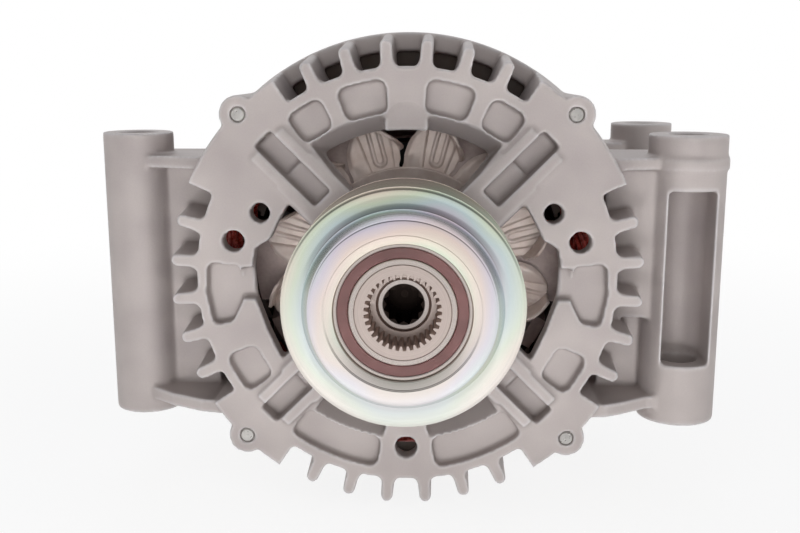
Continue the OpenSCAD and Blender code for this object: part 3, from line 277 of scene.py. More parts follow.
def make_finishes():
    """The finishes, each named for the real material and how its surface was made."""
    finishes = (
        # Die-cast aluminium blasted with fine grit: a soft pinkish grey, with a painted highlight
        # on its edges and painted shade in its corners.
        # The grit's marks of about 0.2 mm are drawn at 0.5 mm so that they show.
        grained("blasted_cast_aluminium", pale="B8AFAC", dark="A19896", metallic=0.5,
                rough=(0.42, 0.6), grain=0.5, depth=0.03, patch=25.0, edges=0.35),
        # Zinc plate with a clear passivation: bright, with pale yellow, green, blue and pink tints.
        turned("zinc_plated_turned_steel", pale="F7F6F3", dark="E3E4E1", rough=(0.14, 0.26),
               pitch=0.5, tints=("EBDCCB", "D3E0C8", "C6DAE0", "D8CDE2", "EBD2CA", "EBDCCB")),
        # Zinc plate on small screws and nuts: greyer and a little duller than the pulley.
        grained("zinc_plated_fastener_steel", pale="C9C6C2", dark="A29F9C", metallic=0.8,
                rough=(0.25, 0.4), grain=0.8, depth=0.01, patch=5.0),
        # Through-hardened bearing steel, ground: a smooth warm grey with very fine rings.
        turned("ground_bearing_steel", pale="CFC5BF", dark="ADA39E", rough=(0.2, 0.32), pitch=0.3),
        # Turned hub steel: warm grey and satin.
        turned("turned_hub_steel", pale="DACBC4", dark="B4A59E", rough=(0.3, 0.42), pitch=0.4),
        # Ground shaft with a broached socket in its end: bright outside, with painted shade inside
        # the socket.
        turned("ground_shaft_steel", pale="D6CCC7", dark="ADA39E", rough=(0.25, 0.4), pitch=0.4,
               core=(6.15, "261F1C")),
        # Nitrile rubber seal of the pulley, moulded: a dull brown red.
        grained("moulded_nitrile_rubber", pale="603D3B", dark="4D312F", metallic=0.0,
                rough=(0.45, 0.6), grain=0.4, depth=0.015, patch=8.0, ior=1.52),
        # Nitrile rubber of the bearing shields, moulded: dull and nearly black.
        grained("black_nitrile_rubber", pale="302C2B", dark="1D1A19", metallic=0.0,
                rough=(0.5, 0.65), grain=0.4, depth=0.015, patch=8.0, ior=1.52),
        # Pressed sheet steel of the fans: shiny, with drawing marks and warmer patches.
        grained("pressed_fan_steel", pale="EADDD6", dark="CDB9AF", metallic=0.35,
                rough=(0.28, 0.42), grain=2.5, depth=0.004, patch=9.0),
        # Enamelled copper wire: a clear red-brown lacquer over copper.
        grained("enamelled_copper_wire", pale="B23C30", dark="6E2019", metallic=0.2,
                rough=(0.2, 0.35), grain=1.2, depth=0.01, patch=6.0, ior=1.55),
        # Bare copper, polished by the brushes: a warm orange mirror with fine rings.
        turned("polished_copper", pale="D58C62", dark="A8643F", rough=(0.18, 0.3), pitch=0.4),
        # The stator's sheets: thin dark and pale lines under a brownish varnish.
        laminated("stacked_electrical_steel"),
        # Forged claw poles, machined on the ends: a pale pinkish grey, satin.
        grained("machined_forged_steel", pale="C9B9B4", dark="9E8C88", metallic=0.4,
                rough=(0.4, 0.55), grain=1.2, depth=0.02, patch=10.0),
        # Nylon filled with glass fibre, moulded: black, matt, with a fine spark-eroded texture.
        grained("moulded_glass_filled_nylon", pale="2B2A2A", dark="191818", metallic=0.0,
                rough=(0.42, 0.6), grain=0.45, depth=0.02, patch=12.0, ior=1.53),
        # Unfilled nylon, moulded: cream white and waxy.
        grained("moulded_natural_nylon", pale="D8D2C0", dark="BDB6A2", metallic=0.0,
                rough=(0.4, 0.55), grain=0.6, depth=0.01, patch=8.0, ior=1.53),
        # Extruded and milled aluminium of the rectifier plates: pale and satin.
        grained("milled_aluminium", pale="CFCBC6", dark="A5A19C", metallic=1.0,
                rough=(0.3, 0.45), grain=0.6, depth=0.02, patch=8.0),
        # Brass sheet, stamped: a warm yellow with a soft shine.
        grained("stamped_brass", pale="C9A45E", dark="94743B", metallic=1.0,
                rough=(0.25, 0.4), grain=0.8, depth=0.01, patch=4.0),
        # Pressed carbon with copper powder: a dull brownish black.
        grained("pressed_carbon_copper", pale="4A423D", dark="2A2624", metallic=0.3,
                rough=(0.5, 0.7), grain=0.5, depth=0.02, patch=3.0),
    )
    for finish in finishes:
        FINISHES[finish.name] = finish


NODE_FINISH = {
    "blasted_cast_aluminium": ("drive_end_bracket", "slip_ring_end_bracket"),
    "zinc_plated_turned_steel": ("pulley_ring",),
    "zinc_plated_fastener_steel": (
        "through_bolts", "retainer_screws", "brush_holder_screws", "stud_nut", "cover_screws",
        "bearing_retainer_plate", "rectifier_diodes", "brush_spring_1", "brush_spring_2"),
    "ground_bearing_steel": (
        "front_bearing_outer_ring", "rear_bearing_outer_ring", "front_bearing_inner_ring",
        "rear_bearing_inner_ring", "front_bearing_balls", "rear_bearing_balls",
        "pulley_inner_races", "pulley_outer_races", "pulley_balls", "clutch_rollers",
        "clutch_ramp_ring"),
    "turned_hub_steel": ("pulley_hub", "front_spacer"),
    "ground_shaft_steel": ("rotor_shaft",),
    "moulded_nitrile_rubber": ("pulley_seals",),
    "black_nitrile_rubber": ("front_bearing_shields",),
    "pressed_fan_steel": ("front_fan", "rear_fan"),
    "enamelled_copper_wire": ("stator_winding", "field_coil"),
    "polished_copper": ("slip_rings",),
    "stacked_electrical_steel": ("stator_core",),
    "machined_forged_steel": ("front_claw_pole", "rear_claw_pole"),
    "moulded_glass_filled_nylon": (
        "rear_cover", "stud_insulator", "brush_holder", "rectifier_terminal_board", "coil_bobbin",
        "slip_ring_body"),
    "moulded_natural_nylon": ("rear_bearing_sleeve",),
    "milled_aluminium": ("rectifier_negative_plate", "rectifier_positive_plate"),
    "stamped_brass": ("output_stud", "front_bearing_cage", "rear_bearing_cage"),
    "pressed_carbon_copper": ("brush_1", "brush_2"),
}
FINISH_OF = {node: finish for finish, nodes in NODE_FINISH.items() for node in nodes}


def dress_node(node):
    """A CAD node that keeps its shape gets its finish on its object's own slots."""
    piece = frame["nodes"][node]
    for slot in piece.material_slots:
        slot.link = "OBJECT"
        slot.material = FINISHES[FINISH_OF[node]]
    if not piece.material_slots:
        raise RuntimeError(node + " has no material slot")


def seat(piece, node):
    """The piece stands for the node, rides on its body and takes its finish."""
    bpy.context.collection.objects.link(piece)
    piece.data.materials.clear()
    piece.data.materials.append(FINISHES[FINISH_OF[node]])
    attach(piece, BODY_OF[node])
    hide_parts(node)
    return piece


WELD = 0.002
FLAT_ANGLE = math.radians(0.6)
SHARP_ANGLE = math.radians(34.0)


def copied_mesh(node, name):
    """A welded copy of a node's mesh, without the flat triangle edges."""
    mesh = frame["nodes"][node].data.copy()
    mesh.name = name
    work = bmesh.new()
    work.from_mesh(mesh)
    bmesh.ops.remove_doubles(work, verts=work.verts, dist=WELD * MM)
    bmesh.ops.dissolve_limit(work, angle_limit=FLAT_ANGLE, verts=work.verts, edges=work.edges)
    for face in work.faces:
        face.smooth = True
    work.to_mesh(mesh)
    work.free()
    return mesh


def edged(node, width, segments):
    """The node with its sharp edges broken by a small bevel, as machined or moulded parts have."""
    mesh = copied_mesh(node, node + "_mesh")
    mesh.set_sharp_from_angle(angle=SHARP_ANGLE)
    piece = bpy.data.objects.new(node + "_detailed", mesh)
    bevel = piece.modifiers.new("Broken edges", "BEVEL")
    bevel.width = width * MM
    bevel.segments = segments
    bevel.limit_method = "ANGLE"
    bevel.angle_limit = SHARP_ANGLE
    bevel.use_clamp_overlap = True
    return seat(piece, node)


def cast(node, voxel, passes):
    """The node as a casting: remeshed and relaxed, so that every edge and corner has a radius."""
    source = bpy.data.objects.new(node + "_source", copied_mesh(node, node + "_source"))
    bpy.context.collection.objects.link(source)
    remesh = source.modifiers.new("Voxels", "REMESH")
    remesh.mode = "VOXEL"
    remesh.voxel_size = voxel * MM
    relax = source.modifiers.new("Radii", "SMOOTH")
    relax.factor = 0.5
    relax.iterations = passes
    graph = bpy.context.evaluated_depsgraph_get()
    mesh = bpy.data.meshes.new_from_object(source.evaluated_get(graph))
    mesh.name = node + "_cast"
    mesh.shade_smooth()
    bpy.data.objects.remove(source)
    return seat(bpy.data.objects.new(node + "_cast", mesh), node)


CORNER_STEPS = 3
# A rounding takes at most this share of a side.
SIDE_SHARE = 0.45
TURN_STEPS = 192


def rounded_profile(points, radius):
    """The closed profile with its corners rounded, as far as its sides allow."""
    made = []
    count = len(points)
    for i in range(count):
        before, here, after = (Vector(points[(i + k) % count]) for k in (-1, 0, 1))
        reach = min(radius, (before - here).length * SIDE_SHARE, (after - here).length * SIDE_SHARE)
        start = here + (before - here).normalized() * reach
        end = here + (after - here).normalized() * reach
        for k in range(CORNER_STEPS + 1):
            t = k / CORNER_STEPS
            made.append((1 - t) ** 2 * start + 2 * t * (1 - t) * here + t ** 2 * end)
    return made


def lathe(name, profile):
    """A closed profile of (radius, y) in millimetres, turned round the Y axis."""
    work = bmesh.new()
    rings = []
    for k in range(TURN_STEPS):
        a = 2 * math.pi * k / TURN_STEPS
        rings.append([work.verts.new((p[0] * math.cos(a) * MM, p[1] * MM, p[0] * math.sin(a) * MM))
                      for p in profile])
    count = len(profile)
    for k in range(TURN_STEPS):
        near, far = rings[k], rings[(k + 1) % TURN_STEPS]
        for i in range(count):
            j = (i + 1) % count
            work.faces.new((near[i], near[j], far[j], far[i])).smooth = True
    bmesh.ops.recalc_face_normals(work, faces=work.faces)
    mesh = bpy.data.meshes.new(name)
    work.to_mesh(mesh)
    work.free()
    return bpy.data.objects.new(name, mesh)


def pulley_profile(sizes, nose, back):
    """Half the pulley ring's section, as (radius, y), from the bore round the front to the back."""
    bore, rim, top = sizes.bore_r, sizes.flange_r, sizes.rib_r
    root = top - sizes.groove_depth
    front = nose + sizes.nose_step
    belt = front + sizes.first_groove

    # The dish in the nose's face, the nose's edge, and the cone that widens towards the flange.
    bore_break, dish_wall, edge, cone_end = 0.7, 0.3, 0.35, 0.5
    profile = [(bore, nose + bore_break), (sizes.dish_r - dish_wall, nose + edge),
               (sizes.dish_r, nose), (sizes.nose_r - edge, nose), (sizes.nose_r, nose + edge),
               (sizes.nose_base_r, front - cone_end)]

    # The hollow at the cone's foot, the flange's face, its chamfer and its rim.
    hollow, hollow_depth, chamfer, chamfer_depth, corner, rim_start, rim_end = (
        1.6, 0.15, 0.8, 0.5, 0.1, 0.9, 0.3)
    profile += [(sizes.nose_base_r + hollow, front - hollow_depth), (sizes.slope_r, front),
                (rim - chamfer, front), (rim - corner, front + chamfer_depth),
                (rim, front + rim_start), (rim, belt - rim_end)]

    # The belt grooves, each between the lands of two ribs.
    half_land, flank_end = 0.5, 1.5
    for i in range(sizes.grooves):
        y = belt + i * sizes.groove_pitch
        end = y + sizes.groove_pitch
        profile += [(top, y + half_land), (root, y + flank_end),
                    (root, end - flank_end), (top, end - half_land)]

    # The back flange with its chamfer, and the step down to the bore.
    flange, back_chamfer, step, step_foot, step_depth = 1.36, 0.6, 2, 0.6, 0.8
    profile += [(rim, back - flange), (rim, back - back_chamfer), (rim - back_chamfer, back),
                (bore + step, back), (bore + step_foot, back - step_depth),
                (bore, back - step_depth)]
    return profile


def smooth_step(low, high, value):
    """0 below low, 1 above high, and a soft rise between."""
    t = min(1.0, max(0.0, (value - low) / (high - low)))
    return t * t * (3 - 2 * t)


def between(table, value):
    """The value read off a table of (place, value) pairs, with straight lines between them."""
    if value <= table[0][0]:
        return table[0][1]
    for (x0, y0), (x1, y1) in zip(table, table[1:]):
        if value <= x1:
            return y0 + (y1 - y0) * (value - x0) / (x1 - x0)
    return table[-1][1]


# One petal of a fan of twelve. Degrees are counted from the foot of its slot, and radii, widths
# and heights are in millimetres. The two tables give the petal's lower and upper edge in degrees
# at each radius.
PETAL_COUNT = 12
PETAL_LOW = ((32, 1.6), (34.8, 1.4), (36.5, 0.4), (41, 0.7), (43.2, 3.0), (46, 7.0), (48.4, 11.0),
             (50, 15.0))
PETAL_HIGH = ((32, 30.0), (34, 29.6), (35.2, 28.7), (38, 28.2), (41.6, 26.4), (43.2, 25.4),
              (46.5, 22.2), (48.6, 19.0), (50, 15.4))
PETAL_ROOT, PETAL_TIP = 31.0, 49.7
ROOT_RISE = 34.5

# The flap is raised by a fold at this angle, and domed beyond it.
FLAP_AT = 18.2
HALF_FOLD = 0.5
CROWN_RISE = 6.0
CROWN_FROM, CROWN_FULL = 33.0, 39.0
EDGE_DROP, EDGE_WIDTH = 0.7, 1.8

# The strip along the blade lies lower than the sheet, by a share of the flap's step.
STRIP_AT = 4.6
STRIP_SHARE = 0.6

RIB_MIDDLE = 11.3
RIB_HALF = 1.75
RIB_FOOT = 37.2
RIB_WIDTH = 0.42
RIB_FADE = 1.0

# The blade rises towards the petal's tip and drops again at its end.
BLADE_FROM, BLADE_FULL = 39.5, 45.0
BLADE_FALL, BLADE_END = 46.5, 50.0
BLADE_LOSS = 0.25
BEND_RADIUS = 1.2
CREASE = 0.3
# How fast the blade's creases change from petal to petal, along the blade and up it.
CREASE_PACE = (7.3, 1.3, 3.0)

# The hub sheet's radius and height outside its bore: flat, with its rim turned up.
HUB_SECTION = ((20.0, 0.0), (27.0, 0.0), (32.6, 0.0), (33.4, 0.35), (33.9, 0.3))
HUB_BORE_LAND = 1.0
HUB_LIFT = 0.9
HUB_STEPS = 240
PETAL_STEPS, RADIUS_STEPS, BLADE_STEPS = 60, 40, 10
FAN_INSET = 0.05
BLADE_CLEARANCE = 0.6


def rib_height(across, radius):
    """Height from 0 to 1 of a rib shaped like a U that opens outwards."""
    if radius < RIB_FOOT:
        off = abs(math.hypot(across, radius - RIB_FOOT) - RIB_HALF)
    else:
        off = abs(abs(across) - RIB_HALF)
    return math.exp(-((off / RIB_WIDTH) ** 2))


def petal_height(degrees, radius, sizes):
    """Height of a petal over the flat sheet, in millimetres."""
    per_degree = math.radians(1.0) * radius
    flap = sizes.step * smooth_step(FLAP_AT - HALF_FOLD, FLAP_AT + HALF_FOLD, degrees)
    crown = (sizes.crown * smooth_step(FLAP_AT, FLAP_AT + CROWN_RISE, degrees)
             * smooth_step(CROWN_FROM, CROWN_FULL, radius))
    strip = -STRIP_SHARE * sizes.step * (
        1.0 - smooth_step(STRIP_AT - HALF_FOLD, STRIP_AT + HALF_FOLD, degrees))
    rib = sizes.rib * rib_height((degrees - RIB_MIDDLE) * per_degree, radius)
    rim = per_degree * min(degrees - between(PETAL_LOW, radius),
                           between(PETAL_HIGH, radius) - degrees)
    drop = -EDGE_DROP * (1.0 - smooth_step(0.0, EDGE_WIDTH, rim)) if degrees > FLAP_AT else 0.0
    height = flap + crown + strip + rib * smooth_step(0.0, RIB_FADE, rim) + drop
    return height * smooth_step(PETAL_ROOT, ROOT_RISE, radius)


def blade_height(radius, full):
    """Height of the blade that is bent up from a petal's lower edge."""
    fall = 1.0 - BLADE_LOSS * smooth_step(BLADE_FALL, BLADE_END, radius)
    return full * smooth_step(BLADE_FROM, BLADE_FULL, radius) * fall


def pressed_fan(node, sizes, petals, phase, facing):
    """A pressed fan: a flat hub and petals with a raised flap, a U-shaped rib and a blade.

    phase is the angle of the first petal in degrees, and facing is the way along Y that the
    ribs point.
    """
    low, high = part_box(node)
    near_side = high[1] if facing < 0 else low[1]
    sheet = near_side / MM + facing * (sizes.sheet / 2 + FAN_INSET)
    full = (high[1] - low[1]) / MM - 2 * sizes.sheet - BLADE_CLEARANCE
    wide = PETAL_COUNT / petals
    work = bmesh.new()

    def vertex(start, degrees, radius, lift):
        a = math.radians(phase + start + wide * degrees)
        return work.verts.new((radius * math.cos(a) * MM, (sheet + facing * lift) * MM,
                               radius * math.sin(a) * MM))

    for petal in range(petals):
        grid = []
        start = petal * 360 / petals
        for r in range(RADIUS_STEPS + 1):
            radius = PETAL_ROOT + (PETAL_TIP - PETAL_ROOT) * r / RADIUS_STEPS
            first, last = between(PETAL_LOW, radius), between(PETAL_HIGH, radius)
            line = []
            tall = blade_height(radius, full)
            for k in range(BLADE_STEPS, 0, -1):
                share = k / BLADE_STEPS
                bend = BEND_RADIUS * math.sin(0.5 * math.pi * share) / (math.radians(1.0) * radius)
                along = (petal, radius, share)
                crease = CREASE * noise.noise(Vector([a * b for a, b in zip(along, CREASE_PACE)]))
                line.append(vertex(start, first - bend * min(1.0, tall),
                                   radius + crease * min(1.0, tall),
                                   tall * share + petal_height(first, radius, sizes)))
            for c in range(PETAL_STEPS + 1):
                degrees = first + (last - first) * c / PETAL_STEPS
                line.append(vertex(start, degrees, radius, petal_height(degrees, radius, sizes)))
            grid.append(line)
        for near, far in zip(grid, grid[1:]):
            for c in range(len(near) - 1):
                work.faces.new((near[c], near[c + 1], far[c + 1], far[c])).smooth = True

    bore = sizes.fan_bore
    rings = []
    for radius, lift in ((bore, 0.0), (bore + HUB_BORE_LAND, 0.0), *HUB_SECTION):
        rings.append([vertex(360 * k / HUB_STEPS, 0.0, radius, lift + sizes.sheet * HUB_LIFT)
                      for k in range(HUB_STEPS)])
    for near, far in zip(rings, rings[1:]):
        for k in range(HUB_STEPS):
            j = (k + 1) % HUB_STEPS
            work.faces.new((near[k], far[k], far[j], near[j])).smooth = True
    bmesh.ops.recalc_face_normals(work, faces=work.faces)
    bmesh.ops.dissolve_degenerate(work, dist=0.001 * MM, edges=work.edges)
    mesh = bpy.data.meshes.new(node + "_pressed")
    work.to_mesh(mesh)
    work.free()
    piece = bpy.data.objects.new(node + "_pressed", mesh)
    skin = piece.modifiers.new("Sheet", "SOLIDIFY")
    skin.thickness = sizes.sheet * MM
    skin.offset = 0.0
    return seat(piece, node)


def coiled_spring(node):
    """A brush spring: a copy of its node's mesh that takes the node's place."""
    mesh = copied_mesh(node, node + "_coiled")
    piece = seat(bpy.data.objects.new(node + "_coiled", mesh), node)
    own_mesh(piece)


class CastingSettings(bpy.types.PropertyGroup):
    """Sizes of the two cast brackets."""

    voxel: FloatProperty(
        name="Casting voxel", default=0.65, min=0.4, max=2.0,
        description="Size of the voxels, which sets the edge radius, in mm")
    passes: IntProperty(
        name="Relaxing passes", default=5, min=0, description="How far the edges are rounded")


class PulleySettings(bpy.types.PropertyGroup):
    """Sizes of the pulley, in millimetres."""

    flange_r: FloatProperty(
        name="Flange radius", default=34.9, description="Radius of the flanges in mm")
    rib_r: FloatProperty(
        name="Rib radius", default=31.0, description="Radius over the belt ribs in mm")
    groove_depth: FloatProperty(
        name="Groove depth", default=3.0, description="Depth of a belt groove in mm")
    bore_r: FloatProperty(
        name="Bore radius", default=19.6, description="Radius of the bore for the bearings in mm")
    nose_r: FloatProperty(
        name="Nose radius", default=26.6, description="Radius of the nose at its front in mm")
    nose_step: FloatProperty(
        name="Nose step", default=5.4, description="From the nose to the front flange in mm")
    dish_r: FloatProperty(
        name="Dish radius", default=22.3,
        description="Radius of the shallow dish in the nose in mm")
    nose_base_r: FloatProperty(
        name="Nose base", default=28.7, description="Radius of the nose at the flange in mm")
    slope_r: FloatProperty(
        name="Slope", default=32.6, description="Where the flange's inner slope ends, in mm")
    first_groove: FloatProperty(
        name="First groove", default=1.66,
        description="From the flange's face to the first groove in mm")
    groove_pitch: FloatProperty(
        name="Groove pitch", default=3.56, description="Distance between grooves in mm")
    grooves: IntProperty(name="Grooves", default=6, min=1, description="Number of belt grooves")


class FanSettings(bpy.types.PropertyGroup):
    """Sizes of the two pressed fans, in millimetres."""

    sheet: FloatProperty(name="Sheet", default=1.0, description="Thickness of the sheet in mm")
    rib: FloatProperty(name="Rib", default=0.7, description="Height of the pressed ribs in mm")
    step: FloatProperty(
        name="Step", default=0.8, description="Height of the step at a petal's flap in mm")
    crown: FloatProperty(name="Crown", default=0.8, description="How far a flap is domed, in mm")
    fan_bore: FloatProperty(
        name="Bore", default=11.5, description="Radius of the hole for the shaft in mm")


class WindingSettings(bpy.types.PropertyGroup):
    """Sizes of the stator winding."""

    wire: FloatProperty(name="Wire radius", default=0.85, description="Radius of a wire in mm")
    layers: IntProperty(
        name="Layers", default=4, min=1, description="Layers of wire in each coil end")


class StageSettings(bpy.types.PropertyGroup):
    """The light and the floor."""

    floor: FloatVectorProperty(
        name="Floor colour", subtype="COLOR", size=4, default=linear("FAFAFA"),
        description="Colour of the floor")
    key: FloatProperty(
        name="Key light", default=1.2, unit="POWER", description="Power of the key light")


class ALTERNATOR_OT_finishes(bpy.types.Operator):
    """Makes the finishes and puts them on the CAD nodes"""

    bl_idname = "alternator.finishes"
    bl_label = "Finishes"

    def execute(self, context):
        make_finishes()
        for node in frame["nodes"]:
            dress_node(node)
        return {"FINISHED"}


class ALTERNATOR_OT_castings(bpy.types.Operator):
    """Builds the two cast brackets with rounded edges"""

    bl_idname = "alternator.castings"
    bl_label = "Cast brackets"

    def execute(self, context):
        sizes = context.scene.alternator_castings
        cast("drive_end_bracket", sizes.voxel, sizes.passes)
        cast("slip_ring_end_bracket", sizes.voxel, sizes.passes)
        return {"FINISHED"}


class ALTERNATOR_OT_pulley(bpy.types.Operator):
    """Turns the grooved pulley ring and breaks the edges of its hub, races and seals"""

    bl_idname = "alternator.pulley"
    bl_label = "Pulley"

    def execute(self, context):
        low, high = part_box("pulley_ring")
        profile = pulley_profile(context.scene.alternator_pulley, low[1] / MM, high[1] / MM)
        seat(lathe("pulley_ring_turned", rounded_profile(profile, radius=0.3)), "pulley_ring")
        edged("pulley_hub", width=0.12, segments=1)
        for node in ("pulley_outer_races", "pulley_inner_races", "pulley_seals"):
            edged(node, width=0.22, segments=1)
        return {"FINISHED"}


class ALTERNATOR_OT_fans(bpy.types.Operator):
    """Presses the two fans: petals with ribs, bent up into blades"""

    bl_idname = "alternator.fans"
    bl_label = "Fans"

    def execute(self, context):
        sizes = context.scene.alternator_fans
        pressed_fan("front_fan", sizes, petals=PETAL_COUNT, phase=3.7, facing=-1)
        pressed_fan("rear_fan", sizes, petals=10, phase=0.0, facing=1)
        return {"FINISHED"}


SLOT_COUNT = 36
COIL_SPAN = 6
STRAND_POINTS = 9
INNER_LAYER_R = 56.5
OUTER_GAP = 0.4
END_GAP = 1.2
SLOT_DEPTH = 1.0
# A strand rises steeply out of its slot, and the outer layers reach a little further.
STRAND_RISE = 0.6
INNER_REACH, REACH_GAIN = 0.82, 0.18


class ALTERNATOR_OT_winding(bpy.types.Operator):
    """Winds the stator: wires that leave a slot, cross the coil end and go down another"""

    bl_idname = "alternator.winding"
    bl_label = "Stator winding"

    def execute(self, context):
        sizes = context.scene.alternator_winding
        low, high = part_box("stator_winding")
        core_low, core_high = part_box("stator_core")
        outer = (high[2] / MM) - sizes.wire - OUTER_GAP
        width = outer - INNER_LAYER_R
        curve = bpy.data.curves.new("stator_wires", "CURVE")
        curve.dimensions = "3D"
        curve.bevel_depth = sizes.wire * MM
        curve.bevel_resolution = 2
        curve.use_fill_caps = True
        for face, tip in ((core_low[1], low[1]), (core_high[1], high[1])):
            reach = abs(tip - face) / MM - sizes.wire - END_GAP
            sign = 1 if tip > face else -1
            for layer in range(sizes.layers):
                share = layer / max(1, sizes.layers - 1)
                near = INNER_LAYER_R + width * share
                far = INNER_LAYER_R + width * (1 - share)
                height = INNER_REACH + REACH_GAIN * share
                for slot in range(SLOT_COUNT):
                    strand = curve.splines.new("NURBS")
                    strand.points.add(STRAND_POINTS - 1)
                    strand.use_endpoint_u = True
                    strand.order_u = 3
                    for k in range(STRAND_POINTS):
                        t = k / (STRAND_POINTS - 1)
                        a = 2 * math.pi * (slot + 0.5 + COIL_SPAN * t) / SLOT_COUNT
                        rise = math.sin(math.pi * t) ** STRAND_RISE * reach * height
                        r = near + (far - near) * t
                        y = face / MM + sign * (rise - SLOT_DEPTH)
                        strand.points[k].co = (r * math.cos(a) * MM, y * MM,
                                               r * math.sin(a) * MM, 1)
        seat(bpy.data.objects.new("stator_wires", curve), "stator_winding")
        return {"FINISHED"}


class ALTERNATOR_OT_rear(bpy.types.Operator):
    """Breaks the edges of the rear cover and its fasteners, and copies the brush springs"""

    bl_idname = "alternator.rear"
    bl_label = "Rear cover and connections"

    def execute(self, context):
        edged("rear_cover", width=0.45, segments=3)
        for brush in ("1", "2"):
            coiled_spring("brush_spring_" + brush)
        for node in ("brush_holder", "stud_insulator", "stud_nut", "cover_screws", "through_bolts"):
            edged(node, width=0.25, segments=2)
        return {"FINISHED"}


FLOOR_SIZE = 6
FLOOR_MIDDLE_Y = 0.5
FLOOR_GAP = 0.0003
# The floor is whitest away from this place, where the object's shadow lies.
SHADOW_PLACE = (0, -0.45, 0)
SHADOW_NEAR, SHADOW_FAR = 0.12, 0.6
SHADOW_SHARE = 0.86


def lay_floor(colour):
    """A white paper floor, white to the camera and in reflections, which keeps the shadow."""
    height = cad_box[0][2] - FLOOR_GAP
    bpy.ops.mesh.primitive_plane_add(size=FLOOR_SIZE, location=(0, FLOOR_MIDDLE_Y, height))
    floor = bpy.context.object
    floor.name = "floor"
    made, tree, shader, place = blank("white_paper_floor")
    tone = add_node(tree, "ShaderNodeTexNoise", None, {"Vector": place, "Scale": 12.0})
    paper = add_node(tree, "ShaderNodeMix", {"data_type": "RGBA"},
                     {0: tone.outputs["Fac"], 6: tuple(colour), 7: linear(WHITE)})
    tree.links.new(paper.outputs[2], shader.inputs["Base Color"])
    shader.inputs["Roughness"].default_value = 0.9
    white = add_node(tree, "ShaderNodeEmission", None, {"Color": linear(WHITE), "Strength": 1.0})
    path = add_node(tree, "ShaderNodeLightPath")
    looked = add_node(tree, "ShaderNodeMath", {"operation": "ADD", "use_clamp": True},
                      {0: path.outputs["Is Camera Ray"], 1: path.outputs["Is Glossy Ray"]})
    away = add_node(tree, "ShaderNodeVectorMath", {"operation": "DISTANCE"},
                    {0: place, 1: SHADOW_PLACE})
    share = add_node(tree, "ShaderNodeMapRange", {"interpolation_type": "SMOOTHSTEP"},
                     {"Value": away.outputs["Value"], "From Min": SHADOW_NEAR,
                      "From Max": SHADOW_FAR, "To Min": SHADOW_SHARE, "To Max": 1.0})
    seen = add_node(tree, "ShaderNodeMath", {"operation": "MULTIPLY"},
                    {0: looked.outputs[0], 1: share.outputs[0]})
    blend = add_node(tree, "ShaderNodeMixShader", None,
                     {0: seen.outputs[0], 1: shader.outputs[0], 2: white.outputs[0]})
    tree.links.new(blend.outputs[0], tree.nodes["Material Output"].inputs["Surface"])
    floor.data.materials.append(made)


# Each range is the ray's direction at its start and end, then the strength at both.
ROOM_BY_HEIGHT = (-0.3, 0.7, 0.45, 0.3)
MIRROR_BEHIND = (-0.6, -0.1, 0.0, 1.0)
MIRROR_CEILING = (-0.1, 0.45, 0.75, 0.2)


def paint_room():
    """The world: white to the camera, soft light for the object, and a room for its metal."""
    world = bpy.data.worlds.new("soft_white_room")
    bpy.context.scene.world = world
    world.use_nodes = True
    sky = world.node_tree
    sky.nodes.clear()
    path = add_node(sky, "ShaderNodeLightPath")
    ray = add_node(sky, "ShaderNodeSeparateXYZ", None,
                   {0: add_node(sky, "ShaderNodeTexCoord").outputs["Generated"]})

    def strength(direction, span, kind):
        low, high, first, last = span
        return add_node(sky, "ShaderNodeMapRange", {"interpolation_type": kind},
                        {"Value": direction, "From Min": low, "From Max": high,
                         "To Min": first, "To Max": last}).outputs[0]

    def background(value):
        return add_node(sky, "ShaderNodeBackground", None,
                        {"Color": linear(WHITE), "Strength": value}).outputs[0]

    room = background(strength(ray.outputs[2], ROOM_BY_HEIGHT, "LINEAR"))
    plain = background(1.0)
    # Metal reflects the white background behind the object, a dark ceiling and a pale front.
    behind = strength(ray.outputs[1], MIRROR_BEHIND, "SMOOTHSTEP")
    ceiling = strength(ray.outputs[2], MIRROR_CEILING, "SMOOTHSTEP")
    mirrored = add_node(sky, "ShaderNodeMath", {"operation": "MAXIMUM"}, {0: behind, 1: ceiling})
    studio = background(mirrored.outputs[0])
    shiny = add_node(sky, "ShaderNodeMixShader", None,
                     {0: path.outputs["Is Glossy Ray"], 1: room, 2: studio})
    looked = add_node(sky, "ShaderNodeMath", {"operation": "ADD", "use_clamp": True},
                      {0: path.outputs["Is Camera Ray"], 1: path.outputs["Is Transmission Ray"]})
    mixed = add_node(sky, "ShaderNodeMixShader", None,
                     {0: looked.outputs[0], 1: shiny.outputs[0], 2: plain})
    add_node(sky, "ShaderNodeOutputWorld", None, {0: mixed.outputs[0]})


def lamp(name, place, aim, size, power):
    """A soft square lamp that looks at a point, and that bright metal doesn't mirror."""
    data = bpy.data.lights.new(name, "AREA")
    data.size = size
    data.energy = power
    made = bpy.data.objects.new(name, data)
    bpy.context.collection.objects.link(made)
    made.visible_glossy = False
    made.visible_camera = False
    made.location = place
    made.rotation_euler = (Vector(aim) - Vector(place)).to_track_quat("-Z", "Y").to_euler()
    return made


LAMP_AIM = (0, 0.03, 0)


